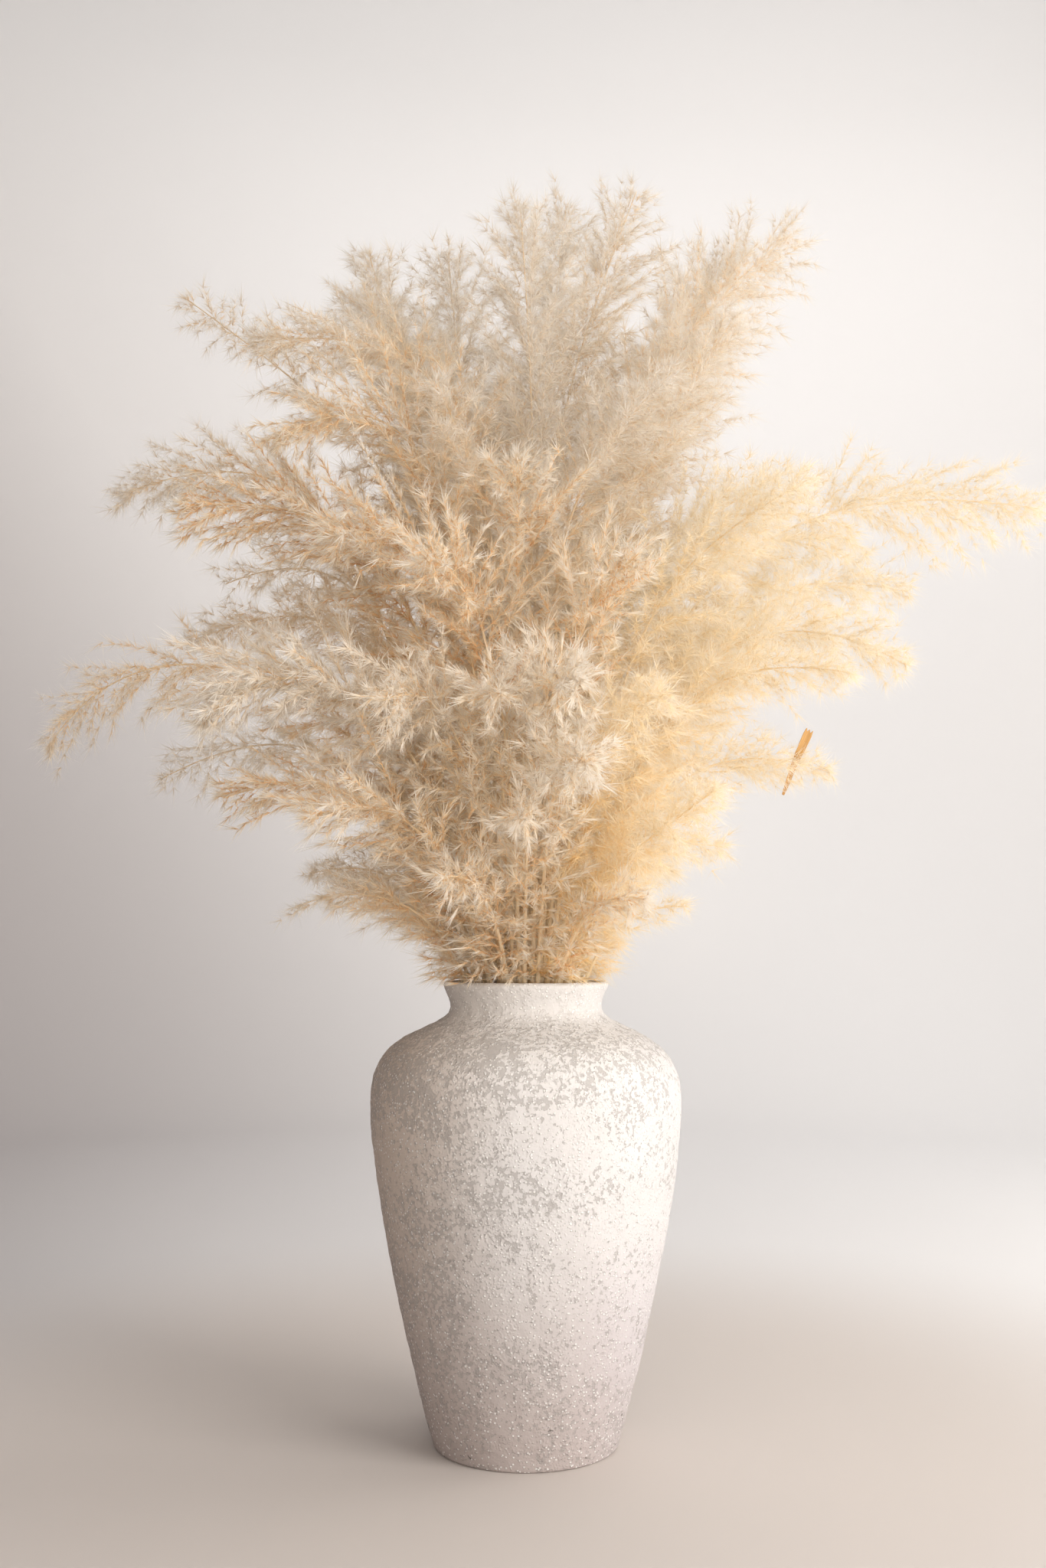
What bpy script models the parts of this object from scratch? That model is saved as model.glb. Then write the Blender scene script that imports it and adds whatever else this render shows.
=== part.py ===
"""A rough white vase holding a full bunch of dried grass plumes, as separate solids.

Units are metres, +Z is up and the origin is the centre of the vase's underside. The bunch's widest side
lies along X, and a viewer in front looks along +Y. Each plume is one solid: a stem that stands on the vase
floor, a slim core, and the strands that stand out of the core on all sides.
"""
import math
from collections import namedtuple

import bmesh
import bpy
import numpy as np
from mathutils.kdtree import KDTree

MM = 0.001

# Vase sizes
VASE_HEIGHT = 300 * MM
FOOT_RADIUS = 61.0 * MM
FOOT_ROUNDING = 2.5 * MM
BELLY_RADIUS = 103.8 * MM
BELLY_HEIGHT = 221 * MM
SHOULDER_RADIUS = 75.5 * MM
SHOULDER_HEIGHT = 266 * MM
NECK_RADIUS = 50.8 * MM
NECK_HEIGHT = 283.5 * MM
RIM_RADIUS = 55.4 * MM
LIP_ROUNDING = 2.5 * MM
WALL = 6.5 * MM
FLOOR_THICKNESS = 9 * MM
FLOOR_FILLET = 4 * MM
VASE_SIDES = 36

# The vase's outer side, from foot to lip, in smooth stretches: start, two handles, end, number of points.
# Each point is a radius and a height.
SIDE_STRETCHES = [
    ((FOOT_RADIUS, FOOT_ROUNDING), (78.5 * MM, 60 * MM),
     (BELLY_RADIUS, 174 * MM), (BELLY_RADIUS, BELLY_HEIGHT), 8),
    ((BELLY_RADIUS, BELLY_HEIGHT), (BELLY_RADIUS, 245 * MM),
     (94 * MM, 257.5 * MM), (SHOULDER_RADIUS, SHOULDER_HEIGHT), 6),
    ((SHOULDER_RADIUS, SHOULDER_HEIGHT), (59 * MM, 273.5 * MM),
     (NECK_RADIUS, 277 * MM), (NECK_RADIUS, NECK_HEIGHT), 4),
    ((NECK_RADIUS, NECK_HEIGHT), (NECK_RADIUS, 289 * MM),
     (54 * MM, 293 * MM), (RIM_RADIUS, VASE_HEIGHT - LIP_ROUNDING), 3),
]

# Bunch sizes
STEM_RADIUS = 1.6 * MM
CORE_RADIUS = 5.0 * MM
TIP_RADIUS = 0.8 * MM
STEM_GAP = 0.3 * MM
STEM_SPACING = 7.6 * MM
NECK_REACH = 37 * MM
NECK_LEAD = 35 * MM
FLOOR_SPREAD = 1.1
FLOOR_TWIST = math.radians(30)
STEM_LEVELS = 5
FLUFF_START = 4 * MM
LEVEL_SPACING = 31 * MM
LINE_SPACING = 4 * MM
TIP_LEAD = 0.45
SWAY = 0.05
SIDES = 5

# Strand shape. The strands open out from the tip down, and splay at the rim.
WIDTH_AT_RIM = 0.6
WIDE_FROM_RIM = 120 * MM
WIDE_FROM_TIP = 110 * MM
SWEEP_AT_BASE = math.radians(48)
SWEEP_AT_TIP = math.radians(22)
SWEEP_OPENS = 220 * MM
SWEEP_JITTER = math.radians(4)
TIP_OVERHANG = 2 * MM
LENGTH_VARIES = (0.85, 1.12)
STRAND_DROOP = 0.18
UPRIGHT_TRIES = (1.0, 0.6, 0.3)
UPRIGHT_LENGTH = 34 * MM
SHORTEST_STRAND = 3 * MM
CLEARANCE = 0.5 * MM
CHECK_POINTS = 14

# Dried leaf scrap, caught on the plume named below
LEAF_PLUME = "plume_right_caught_leaf"
LEAF_LENGTH = 50 * MM
LEAF_WIDTH = 7 * MM
LEAF_TAIL = 1.6 * MM
LEAF_THICKNESS = 0.8 * MM
LEAF_ARCH = 1.8 * MM
LEAF_TILT = math.radians(23)
LEAF_AT = 0.9
LEAF_ROWS = 17
LEAF_COLUMNS = 3

# Each plume lies in an upright plane through the vase axis, at an azimuth from +X, towards +Y. Its tip is
# `reach` from that axis at `height`. It leaves the neck at `lean` from upright, keeps that line for about
# `rise`, and its tip points at `droop` from upright. `width` is half the fluff's width. Millimetres and
# degrees.
Plume = namedtuple("Plume", "name azimuth reach height lean rise droop width tone")
PLUMES = [
    Plume("plume_left_high_back", 155, 300, 836, 6, 360, 52, 38, "cream"),
    Plume("plume_left_high", 189, 190, 735, 5, 280, 100, 48, "cream"),
    Plume("plume_left_front_high", 214, 190, 640, 6, 225, 128, 45, "cream"),
    Plume("plume_left_upper", 171, 302, 650, 18, 270, 110, 42, "cream"),
    Plume("plume_left_upper_front", 204, 240, 600, 10, 235, 104, 46, "cream"),
    Plume("plume_left_upper_back", 147, 285, 610, 18, 245, 98, 39, "cream"),
    Plume("plume_left_middle", 166, 252, 545, 12, 225, 112, 39, "cream"),
    Plume("plume_left_long", 183, 324, 455, 8, 200, 150, 34, "cream"),
    Plume("plume_left_front", 220, 247, 453, 10, 165, 136, 42, "cream"),
    Plume("plume_left_low_back", 156, 307, 450, 20, 190, 112, 35, "cream"),
    Plume("plume_left_low", 199, 205, 418, 14, 120, 112, 42, "cream"),
    Plume("plume_left_low_rim", 168, 155, 374, 20, 70, 104, 38, "cream"),
    Plume("plume_left_lowest", 143, 222, 352, 20, 75, 108, 36, "cream"),
    Plume("plume_left_front_low", 229, 196, 398, 18, 100, 112, 42, "cream"),
    Plume("plume_top_left_back", 142, 180, 830, 14, 330, 48, 45, "cream"),
    Plume("plume_top_left", 166, 118, 827, 6, 320, 16, 50, "cream"),
    Plume("plume_top_back", 116, 140, 872, 6, 350, 24, 54, "cream"),
    Plume("plume_top_middle", 262, 28, 834, 2, 320, 4, 64, "cream"),
    Plume("plume_top_middle_back", 66, 76, 881, 3, 350, 12, 57, "cream"),
    Plume("plume_top_right", 12, 82, 867, 4, 345, 20, 58, "cream"),
    Plume("plume_top_right_large", 14, 203, 850, 6, 300, 48, 66, "cream"),
    Plume("plume_top_right_back", 28, 172, 850, 5, 320, 26, 52, "cream"),
    Plume("plume_top_right_front", 340, 150, 745, 8, 290, 36, 54, "cream"),
    Plume("plume_right_front_high", 310, 144, 684, 16, 240, 62, 48, "cream"),
    Plume("plume_right_upper", 358, 182, 652, 8, 260, 60, 50, "golden"),
    Plume("plume_right_long", 4, 368, 634, 10, 285, 98, 50, "golden"),
    Plume("plume_right_middle_back", 18, 304, 590, 20, 240, 96, 45, "golden"),
    Plume("plume_right_middle", 355, 258, 512, 8, 190, 124, 42, "golden"),
    Plume("plume_right_front_upper", 328, 210, 615, 18, 215, 70, 48, "golden"),
    Plume("plume_right_front_middle", 336, 224, 495, 16, 165, 104, 42, "golden"),
    Plume(LEAF_PLUME, 13, 226, 447, 18, 150, 106, 34, "golden"),
    Plume("plume_right_front_low", 314, 166, 419, 20, 100, 60, 39, "golden"),
    Plume("plume_right_low", 8, 140, 392, 18, 100, 96, 36, "golden"),
    Plume("plume_right_low_back", 31, 128, 376, 20, 60, 96, 31, "golden"),
    Plume("plume_right_lowest", 349, 110, 350, 20, 50, 92, 30, "golden"),
    Plume("plume_front_middle", 279, 192, 473, 10, 150, 104, 39, "cream"),
    Plume("plume_front_low_right", 280, 202, 424, 16, 125, 108, 36, "cream"),
    Plume("plume_front_middle_left", 265, 180, 468, 10, 145, 104, 36, "cream"),
    Plume("plume_front_low", 269, 170, 396, 18, 95, 106, 34, "cream"),
    Plume("plume_front_top_left", 243, 123, 676, 8, 240, 58, 48, "cream"),
    Plume("plume_front_top", 268, 141, 617, 8, 210, 74, 48, "cream"),
    Plume("plume_front_upper_right", 291, 176, 550, 12, 190, 88, 45, "cream"),
    Plume("plume_front_upper_left", 253, 196, 545, 12, 190, 96, 45, "cream"),
    Plume("plume_front_right", 297, 180, 470, 16, 150, 92, 39, "golden"),
    Plume("plume_front_lowest", 251, 152, 364, 20, 65, 98, 34, "cream"),
    Plume("plume_front_left_upper", 232, 192, 570, 8, 205, 104, 45, "cream"),
    Plume("plume_front_left", 247, 206, 462, 14, 160, 108, 39, "cream"),
    Plume("plume_left_rim", 197, 138, 356, 20, 60, 98, 34, "cream"),
    Plume("plume_front_right_rim", 301, 138, 352, 20, 60, 98, 34, "cream"),
    Plume("plume_back_right_rim", 66, 140, 360, 20, 62, 96, 34, "golden"),
    Plume("plume_back_left_rim", 112, 138, 350, 20, 58, 98, 34, "cream"),
    Plume("plume_back_high_right", 48, 190, 800, 8, 310, 44, 50, "cream"),
    Plume("plume_back_high_left", 98, 210, 775, 8, 310, 52, 50, "cream"),
    Plume("plume_back_upper", 76, 275, 650, 14, 270, 88, 45, "cream"),
    Plume("plume_back_right", 46, 288, 560, 16, 235, 100, 42, "golden"),
    Plume("plume_back_left", 118, 290, 545, 16, 225, 100, 42, "cream"),
    Plume("plume_back_low", 88, 255, 440, 20, 150, 112, 39, "cream"),
]

# Surface colour, roughness
MATERIALS = {
    "vase": ((0.80, 0.78, 0.76), 0.9),
    "cream": ((0.74, 0.64, 0.50), 0.95),
    "golden": ((0.83, 0.65, 0.38), 0.95),
    "leaf": ((0.62, 0.40, 0.18), 0.7),
}


def clear_scene():
    """Remove every object that the open file holds."""
    for thing in list(bpy.data.objects):
        bpy.data.objects.remove(thing, do_unlink=True)


def material(name):
    """The Principled material of this name, made once."""
    known = bpy.data.materials.get(name)
    if known:
        return known
    colour, roughness = MATERIALS[name]
    made = bpy.data.materials.new(name)
    made.use_nodes = True
    shader = made.node_tree.nodes["Principled BSDF"]
    shader.inputs["Base Color"].default_value = (*colour, 1.0)
    shader.inputs["Roughness"].default_value = roughness
    shader.inputs["Metallic"].default_value = 0.0
    return made


def add_object(name, mesh, material_name, smooth_angle):
    """Put a mesh in the scene as one named, smooth-shaded object."""
    mesh.materials.append(material(material_name))
    mesh.shade_smooth()
    mesh.set_sharp_from_angle(angle=smooth_angle)
    bpy.context.scene.collection.objects.link(bpy.data.objects.new(name, mesh))


def bezier(start, start_handle, end_handle, end, count):
    """Points along a cubic curve, with both ends."""
    t = np.linspace(0, 1, count)[:, None]
    corners = [np.asarray(p, float) for p in (start, start_handle, end_handle, end)]
    weights = ((1 - t) ** 3, 3 * (1 - t) ** 2 * t, 3 * (1 - t) * t ** 2, t ** 3)
    return sum(w * p for w, p in zip(weights, corners))


def outer_outline():
    """The vase's outer side from foot to lip, as radius and height."""
    stretches = [bezier(*stretch) for stretch in SIDE_STRETCHES]
    return np.vstack(stretches[:1] + [stretch[1:] for stretch in stretches[1:]])


def inward(outline, distance):
    """The outline moved square to itself, towards the axis and down."""
    along = np.gradient(outline, axis=0)
    along /= np.linalg.norm(along, axis=1)[:, None]
    return outline + distance * np.column_stack([-along[:, 1], along[:, 0]])


def vase_outline():
    """Half of the vase's section, from the centre of the underside round to the centre of the floor."""
    outer = outer_outline()
    inner = inward(outer, WALL)
    inner[-1] = (RIM_RADIUS - WALL, VASE_HEIGHT - LIP_ROUNDING)
    lip = [(RIM_RADIUS - WALL * share, VASE_HEIGHT - LIP_ROUNDING * drop)
           for share, drop in ((0.15, 0.3), (0.5, 0.0), (0.85, 0.3))]
    inside = inner[inner[:, 1] > FLOOR_THICKNESS + FLOOR_FILLET][::-1][::2]
    floor_radius = inside[-1, 0] - FLOOR_FILLET
    underside = [(0, 0), (FOOT_RADIUS - FOOT_ROUNDING, 0)]
    floor = [(floor_radius, FLOOR_THICKNESS), (0, FLOOR_THICKNESS)]
    return np.vstack([underside, outer, lip, inside, floor])


def make_vase():
    """Turn the section about the vertical axis into one hollow body."""
    turned = bmesh.new()
    outline = [turned.verts.new((radius, 0, height)) for radius, height in vase_outline()]
    edges = [turned.edges.new(pair) for pair in zip(outline, outline[1:])]
    bmesh.ops.spin(turned, geom=outline + edges, cent=(0, 0, 0), axis=(0, 0, 1),
                   angle=2 * math.pi, steps=VASE_SIDES, use_merge=True)
    bmesh.ops.remove_doubles(turned, verts=turned.verts, dist=0.01 * MM)
    bmesh.ops.recalc_face_normals(turned, faces=turned.faces)
    mesh = bpy.data.meshes.new("vase")
    turned.to_mesh(mesh)
    turned.free()
    add_object("vase", mesh, "vase", math.radians(40))


def neck_places():
    """Where each stem passes the neck: low plumes outermost, then pushed apart to an even spacing."""
    places = []
    for plume in PLUMES:
        fall = math.atan2(plume.reach * MM, plume.height * MM - VASE_HEIGHT) / (math.pi / 2)
        radius = NECK_REACH * min(1.0, fall) ** 0.65
        angle = math.radians(plume.azimuth)
        places.append((radius * math.cos(angle), radius * math.sin(angle)))
    places = np.array(places)
    for _ in range(400):
        apart = places[:, None] - places[None]
        distance = np.linalg.norm(apart, axis=2) + np.eye(len(places))
        push = np.clip(STEM_SPACING - distance, 0, None) * (1 - np.eye(len(places)))
        places = places + 0.25 * (apart / distance[..., None] * push[..., None]).sum(axis=1)
        radius = np.linalg.norm(places, axis=1)[:, None]
        places = places * np.minimum(1.0, NECK_REACH / radius)
    return places


def lean_direction(azimuth, lean):
    """A unit vector at this azimuth and this angle from upright, both in degrees."""
    turn, tip = math.radians(azimuth), math.radians(lean)
    return np.array([math.sin(tip) * math.cos(turn), math.sin(tip) * math.sin(turn), math.cos(tip)])


def stem_line(plume, place):
    """The stem's centre line, from the vase floor to the neck. The stems turn about each other there."""
    neck = np.array([place[0], place[1], NECK_HEIGHT])
    cosine, sine = FLOOR_SPREAD * math.cos(FLOOR_TWIST), FLOOR_SPREAD * math.sin(FLOOR_TWIST)
    foot = np.array([cosine * place[0] - sine * place[1], sine * place[0] + cosine * place[1],
                     FLOOR_THICKNESS + STEM_GAP])
    lead = NECK_LEAD * lean_direction(plume.azimuth, plume.lean)
    return bezier(foot, foot + (neck - foot) / 3, neck - lead, neck, STEM_LEVELS + 1)


def head_line(plume, place, sway):
    """The centre line of the plume's head, from the neck to the tip, with a slight sideways bow."""
    neck = np.array([place[0], place[1], NECK_HEIGHT])
    tip = plume.reach * MM * lean_direction(plume.azimuth, 90) + (0, 0, plume.height * MM)
    length = np.linalg.norm(tip - neck)
    rise = plume.rise * MM * lean_direction(plume.azimuth, plume.lean)
    lead = TIP_LEAD * length * lean_direction(plume.azimuth, plume.droop)
    bow = sway * length * lean_direction(plume.azimuth + 90, 90)
    return bezier(neck, neck + rise, tip - lead + bow, tip, 121)


def even_points(line, spacing):
    """Points at an even spacing along a line, with both ends, and each one's share of the length."""
    steps = np.linalg.norm(np.diff(line, axis=0), axis=1)
    travelled = np.concatenate([[0], np.cumsum(steps)])
    count = max(4, round(travelled[-1] / spacing))
    marks = np.linspace(0, travelled[-1], count + 1)
    points = np.column_stack([np.interp(marks, travelled, line[:, axis]) for axis in range(3)])
    return points, marks / travelled[-1]


def carried_frames(points):
    """At each point of a line its direction and two square directions that turn with it, without twist."""
    along = np.gradient(points, axis=0)
    along /= np.linalg.norm(along, axis=1)[:, None]
    side = np.cross(along[0], (0.0, 1.0, 0.0))
    sides = []
    for direction in along:
        side = side - direction * (side @ direction)
        side = side / np.linalg.norm(side)
        sides.append(side)
    sides = np.array(sides)
    return along, sides, np.cross(along, sides)


def search_tree(points):
    """A tree that finds the nearest of these points."""
    tree = KDTree(len(points))
    for number, point in enumerate(points):
        tree.insert(point, number)
    tree.balance()
    return tree


class Room:
    """How far a point is inside its own plume's space, which ends half way to the nearest neighbour."""

    def __init__(self, own_line, other_lines):
        self.own = search_tree(own_line)
        self.others = search_tree(np.vstack(other_lines))

    def at(self, points):
        return np.array([self.others.find(point)[2] - self.own.find(point)[2] for point in points]) / 2


def fluff_width(plume, from_rim, from_tip):
    """Half the fluff's width at these distances from the rim and from the tip, along the plume."""
    at_rim = np.interp(from_rim, [0, WIDE_FROM_RIM], [WIDTH_AT_RIM, 1.0])
    return plume.width * MM * at_rim * min(1.0, (from_tip / WIDE_FROM_TIP) ** 0.6)


def core_radius(share):
    """The core swells out of the stem and tapers to the tip."""
    swell = min(1.0, share / 0.15)
    taper = 1.0 - max(0.0, share - 0.3) / 0.7
    return TIP_RADIUS + (CORE_RADIUS - TIP_RADIUS) * swell * taper


def above_vase(points, thickness):
    """True where a point this thick is clear of the vase, over its rim or outside its belly."""
    outside = np.hypot(points[:, 0], points[:, 1]) > BELLY_RADIUS + 3 * MM
    over = points[:, 2] > VASE_HEIGHT + CLEARANCE + thickness
    return outside | over


def strand_tip(room, root, frame, sweep, length, root_width):
    """The end of a strand: bent upright and drawn back until it is clear of the vase and other plumes."""
    along, outward = frame
    shares = np.linspace(0.08, 1.0, CHECK_POINTS)
    thickness = root_width * (1 - shares) * 0.6
    best, best_length = None, SHORTEST_STRAND
    for keep in UPRIGHT_TRIES:
        angle = sweep * keep
        length = length if keep == 1.0 else min(length, UPRIGHT_LENGTH)
        direction = math.cos(angle) * along + math.sin(angle) * outward - (0, 0, STRAND_DROOP * keep)
        direction = direction / np.linalg.norm(direction)
        points = root + direction * length * shares[:, None]
        clear = room.at(points) > thickness + CLEARANCE
        clear &= above_vase(points, thickness)
        blocked = np.flatnonzero(~clear)
        allowed = length * (shares[blocked[0]] - shares[0]) if len(blocked) else length
        if allowed > 1.2 * best_length:
            best, best_length = root + direction * allowed, allowed
    return best


def ring_corners(points, radii, frames):
    """Rings of corners round the points, each ring turned half a side on from the one before."""
    _, side, across = frames
    corners = []
    for level, radius in enumerate(radii):
        angles = (np.arange(SIDES) + 0.5 * level) * 2 * math.pi / SIDES
        ring = np.cos(angles)[:, None] * side[level] + np.sin(angles)[:, None] * across[level]
        corners.extend(points[level] + radius * ring)
    return corners


def make_plume(room, plume, stem, head, random):
    """One closed body: stem, core, and a strand standing out of every second face of the core."""
    levels, head_shares = even_points(head, LEVEL_SPACING)
    head_length = np.linalg.norm(np.diff(head, axis=0), axis=1).sum()
    points = np.vstack([stem[:-1], levels])
    shares = np.concatenate([np.zeros(len(stem) - 1), head_shares])
    along, side, across = carried_frames(points)
    wanted = np.array([STEM_RADIUS if point[2] < VASE_HEIGHT else core_radius(share)
                       for point, share in zip(points, shares)])
    radii = np.clip(wanted, TIP_RADIUS, np.maximum(TIP_RADIUS, room.at(points) - CLEARANCE))
    corners = ring_corners(points, radii[:-1], (along, side, across))
    tip_corner = len(corners)
    corners.append(points[-1])
    faces = [tuple(reversed(range(SIDES)))]
    for level in range(len(points) - 2):
        for step in range(SIDES):
            low, low_next = level * SIDES + step, level * SIDES + (step + 1) % SIDES
            high, high_next = low + SIDES, low_next + SIDES
            faces.append((low_next, high_next, high))
            tip = None
            if points[level, 2] > VASE_HEIGHT + FLUFF_START:
                root = (corners[low] + corners[low_next]) / 2
                root_width = np.linalg.norm(corners[low] - corners[low_next])
                outward = (root - points[level]) / np.linalg.norm(root - points[level])
                from_rim = shares[level] * head_length - (VASE_HEIGHT - NECK_HEIGHT)
                from_tip = (1 - shares[level]) * head_length
                sweep = np.interp(from_tip, [0, SWEEP_OPENS], [SWEEP_AT_TIP, SWEEP_AT_BASE])
                sweep += random.uniform(-SWEEP_JITTER, SWEEP_JITTER)
                length = fluff_width(plume, from_rim, from_tip) / math.sin(sweep)
                length *= random.uniform(*LENGTH_VARIES)
                length = min(length, (from_tip + TIP_OVERHANG) / math.cos(sweep))
                tip = strand_tip(room, root, (along[level], outward), sweep, length, root_width)
            if tip is None:
                faces.append((low, low_next, high))
            else:
                apex = len(corners)
                corners.append(tip)
                faces.extend([(low, low_next, apex), (low_next, high, apex), (high, low, apex)])
    last = tip_corner - SIDES
    faces.extend((last + step, last + (step + 1) % SIDES, tip_corner) for step in range(SIDES))
    mesh = bpy.data.meshes.new(plume.name)
    mesh.from_pydata([tuple(corner) for corner in corners], [], faces)
    add_object(plume.name, mesh, plume.tone, math.radians(30))


def place_leaf(head):
    """Where the leaf scrap lies: its middle, its length and its face, flat on the front of its plume."""
    points, _ = even_points(head, 2 * MM)
    at = round(LEAF_AT * (len(points) - 1))
    along = points[at + 1] - points[at - 1]
    along = along / np.linalg.norm(along)
    upward = np.array([math.sin(LEAF_TILT), 0, math.cos(LEAF_TILT)])
    face = np.cross(along, upward)
    face = face / np.linalg.norm(face)
    face = face if face[1] < 0 else -face
    upward = np.cross(face, np.cross(upward, face))
    offset = core_radius(LEAF_AT) + STEM_GAP + LEAF_THICKNESS / 2
    return points[at] + offset * face, upward / np.linalg.norm(upward), face


def make_leaf(middle, upward, face):
    """A thin dry blade, wide and torn square at the top, narrow at the foot. Returns its points."""
    sideways = np.cross(upward, face)
    blade = bmesh.new()
    sheets = []
    for layer in (-0.5, 0.5):
        sheet = []
        for share in np.linspace(0, 1, LEAF_ROWS):
            half_width = (LEAF_TAIL + (LEAF_WIDTH - LEAF_TAIL) * share ** 0.8) / 2
            rise = LEAF_ARCH * (2 * share - 1) ** 2 + layer * LEAF_THICKNESS
            centre = middle + upward * LEAF_LENGTH * (share - 0.5) + face * rise
            sheet.append([blade.verts.new(centre + sideways * half_width * offset)
                          for offset in np.linspace(-1, 1, LEAF_COLUMNS)])
        sheets.append(sheet)
    back, front = sheets
    for row in range(LEAF_ROWS - 1):
        for column in range(LEAF_COLUMNS - 1):
            for sheet in sheets:
                first, second = sheet[row][column], sheet[row][column + 1]
                third, fourth = sheet[row + 1][column + 1], sheet[row + 1][column]
                blade.faces.new((first, second, third))
                blade.faces.new((first, third, fourth))
        for column in (0, LEAF_COLUMNS - 1):
            blade.faces.new((back[row][column], back[row + 1][column],
                             front[row + 1][column], front[row][column]))
    for row in (0, LEAF_ROWS - 1):
        for column in range(LEAF_COLUMNS - 1):
            blade.faces.new((back[row][column], back[row][column + 1],
                             front[row][column + 1], front[row][column]))
    bmesh.ops.recalc_face_normals(blade, faces=blade.faces)
    points = np.array([vert.co for vert in blade.verts])
    mesh = bpy.data.meshes.new("dried_leaf")
    blade.to_mesh(mesh)
    blade.free()
    add_object("dried_leaf", mesh, "leaf", math.radians(40))
    return points


def main():
    clear_scene()
    make_vase()
    random = np.random.default_rng(7)
    stems, heads, lines = [], [], []
    for plume, place in zip(PLUMES, neck_places()):
        stems.append(stem_line(plume, place))
        heads.append(head_line(plume, place, random.uniform(-SWAY, SWAY)))
        lines.append(np.vstack([even_points(line, LINE_SPACING)[0] for line in (stems[-1], heads[-1])]))
    leaf_number = [plume.name for plume in PLUMES].index(LEAF_PLUME)
    middle, upward, face = place_leaf(heads[leaf_number])
    lines.append(make_leaf(middle, upward, face))
    for number, plume in enumerate(PLUMES):
        room = Room(lines[number], lines[:number] + lines[number + 1:])
        make_plume(room, plume, stems[number], heads[number], random)


main()
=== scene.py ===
"""The looks of a rough white vase that holds a full bunch of dried grass plumes, built round its CAD frame.

Units are metres, +Z is up and the origin is the centre of the vase's underside. A viewer in front looks
along +Y. Each plume is one mesh of stem, twigs, awns and silky hairs, and replaces the CAD node of its name.
The colour of a plume depends on its UV map alone: across it from dull to pale, and up it from root to tip.
"""
import math
from collections import namedtuple

import bpy
import numpy as np
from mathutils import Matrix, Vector


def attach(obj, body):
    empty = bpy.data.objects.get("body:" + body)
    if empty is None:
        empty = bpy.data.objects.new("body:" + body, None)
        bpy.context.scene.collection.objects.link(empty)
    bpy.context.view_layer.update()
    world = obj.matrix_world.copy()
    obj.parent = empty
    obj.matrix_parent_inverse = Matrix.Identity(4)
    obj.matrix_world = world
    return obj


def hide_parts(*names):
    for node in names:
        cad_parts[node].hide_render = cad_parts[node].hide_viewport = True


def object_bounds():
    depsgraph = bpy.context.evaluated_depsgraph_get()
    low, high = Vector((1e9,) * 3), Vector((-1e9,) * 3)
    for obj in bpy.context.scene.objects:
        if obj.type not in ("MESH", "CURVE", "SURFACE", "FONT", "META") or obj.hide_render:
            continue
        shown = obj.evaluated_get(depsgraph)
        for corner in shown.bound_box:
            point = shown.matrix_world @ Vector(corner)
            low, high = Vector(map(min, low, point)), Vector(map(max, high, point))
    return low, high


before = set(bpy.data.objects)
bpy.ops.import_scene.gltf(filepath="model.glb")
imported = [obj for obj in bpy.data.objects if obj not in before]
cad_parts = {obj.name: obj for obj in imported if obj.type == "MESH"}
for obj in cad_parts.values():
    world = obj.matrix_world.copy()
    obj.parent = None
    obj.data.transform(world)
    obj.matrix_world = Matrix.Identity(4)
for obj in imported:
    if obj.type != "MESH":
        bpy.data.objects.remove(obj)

MM = 0.001
CAD_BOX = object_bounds()

# Vase sizes
VASE_HEIGHT = 300 * MM
FOOT_RADIUS = 61.0 * MM
FOOT_ROUNDING = 2.5 * MM
BELLY_RADIUS = 103.8 * MM
BELLY_HEIGHT = 221 * MM
SHOULDER_RADIUS = 75.5 * MM
SHOULDER_HEIGHT = 266 * MM
NECK_RADIUS = 50.8 * MM
NECK_HEIGHT = 283.5 * MM
RIM_RADIUS = 55.4 * MM
LIP_ROUNDING = 2.5 * MM
WALL = 6.5 * MM
FLOOR_THICKNESS = 9 * MM

# The vase's outer side, from foot to lip, in smooth stretches: start, two handles, end, number of points.
# Each point is a radius and a height.
SIDE_STRETCHES = [
    ((FOOT_RADIUS, FOOT_ROUNDING), (78.5 * MM, 60 * MM),
     (BELLY_RADIUS, 174 * MM), (BELLY_RADIUS, BELLY_HEIGHT), 118),
    ((BELLY_RADIUS, BELLY_HEIGHT), (BELLY_RADIUS, 245 * MM),
     (94 * MM, 257.5 * MM), (SHOULDER_RADIUS, SHOULDER_HEIGHT), 32),
    ((SHOULDER_RADIUS, SHOULDER_HEIGHT), (59 * MM, 273.5 * MM),
     (NECK_RADIUS, 277 * MM), (NECK_RADIUS, NECK_HEIGHT), 17),
    ((NECK_RADIUS, NECK_HEIGHT), (NECK_RADIUS, 289 * MM),
     (54 * MM, 293 * MM), (RIM_RADIUS, VASE_HEIGHT - LIP_ROUNDING), 9),
]
VASE_COLUMNS = 288
FOOT_STEPS = 4
LIP_STEPS = 7
INSIDE_STEPS = 12
INSIDE_CORNER = 4 * MM

# Unevenness of the vase's coat: the spacing of its lumps and how far they stand out, how far at most, and the
# height at its foot where they start and over which they grow
COAT_LUMPS = [(28 * MM, 0.5 * MM), (9 * MM, 0.22 * MM), (3.6 * MM, 0.34 * MM)]
COAT_LIMIT = 0.45 * MM
COAT_START = 2 * MM
COAT_GROWS = 6 * MM

# The coat's specks: their size, that of their clumps and of the areas rich in them, how many more the
# shoulder and the left side have, the share that the neck lacks, and where they start and are full
SPECK_SIZE = 2.9 * MM
SPECK_CLUMPS = 8 * MM
SPECK_AREAS = 42 * MM
SHOULDER_SPECKS = 0.075
LEFT_SPECKS = 0.06
NECK_LACKS_SPECKS = 0.55
SPECK_EDGE = (1.0, 1.055)

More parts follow.
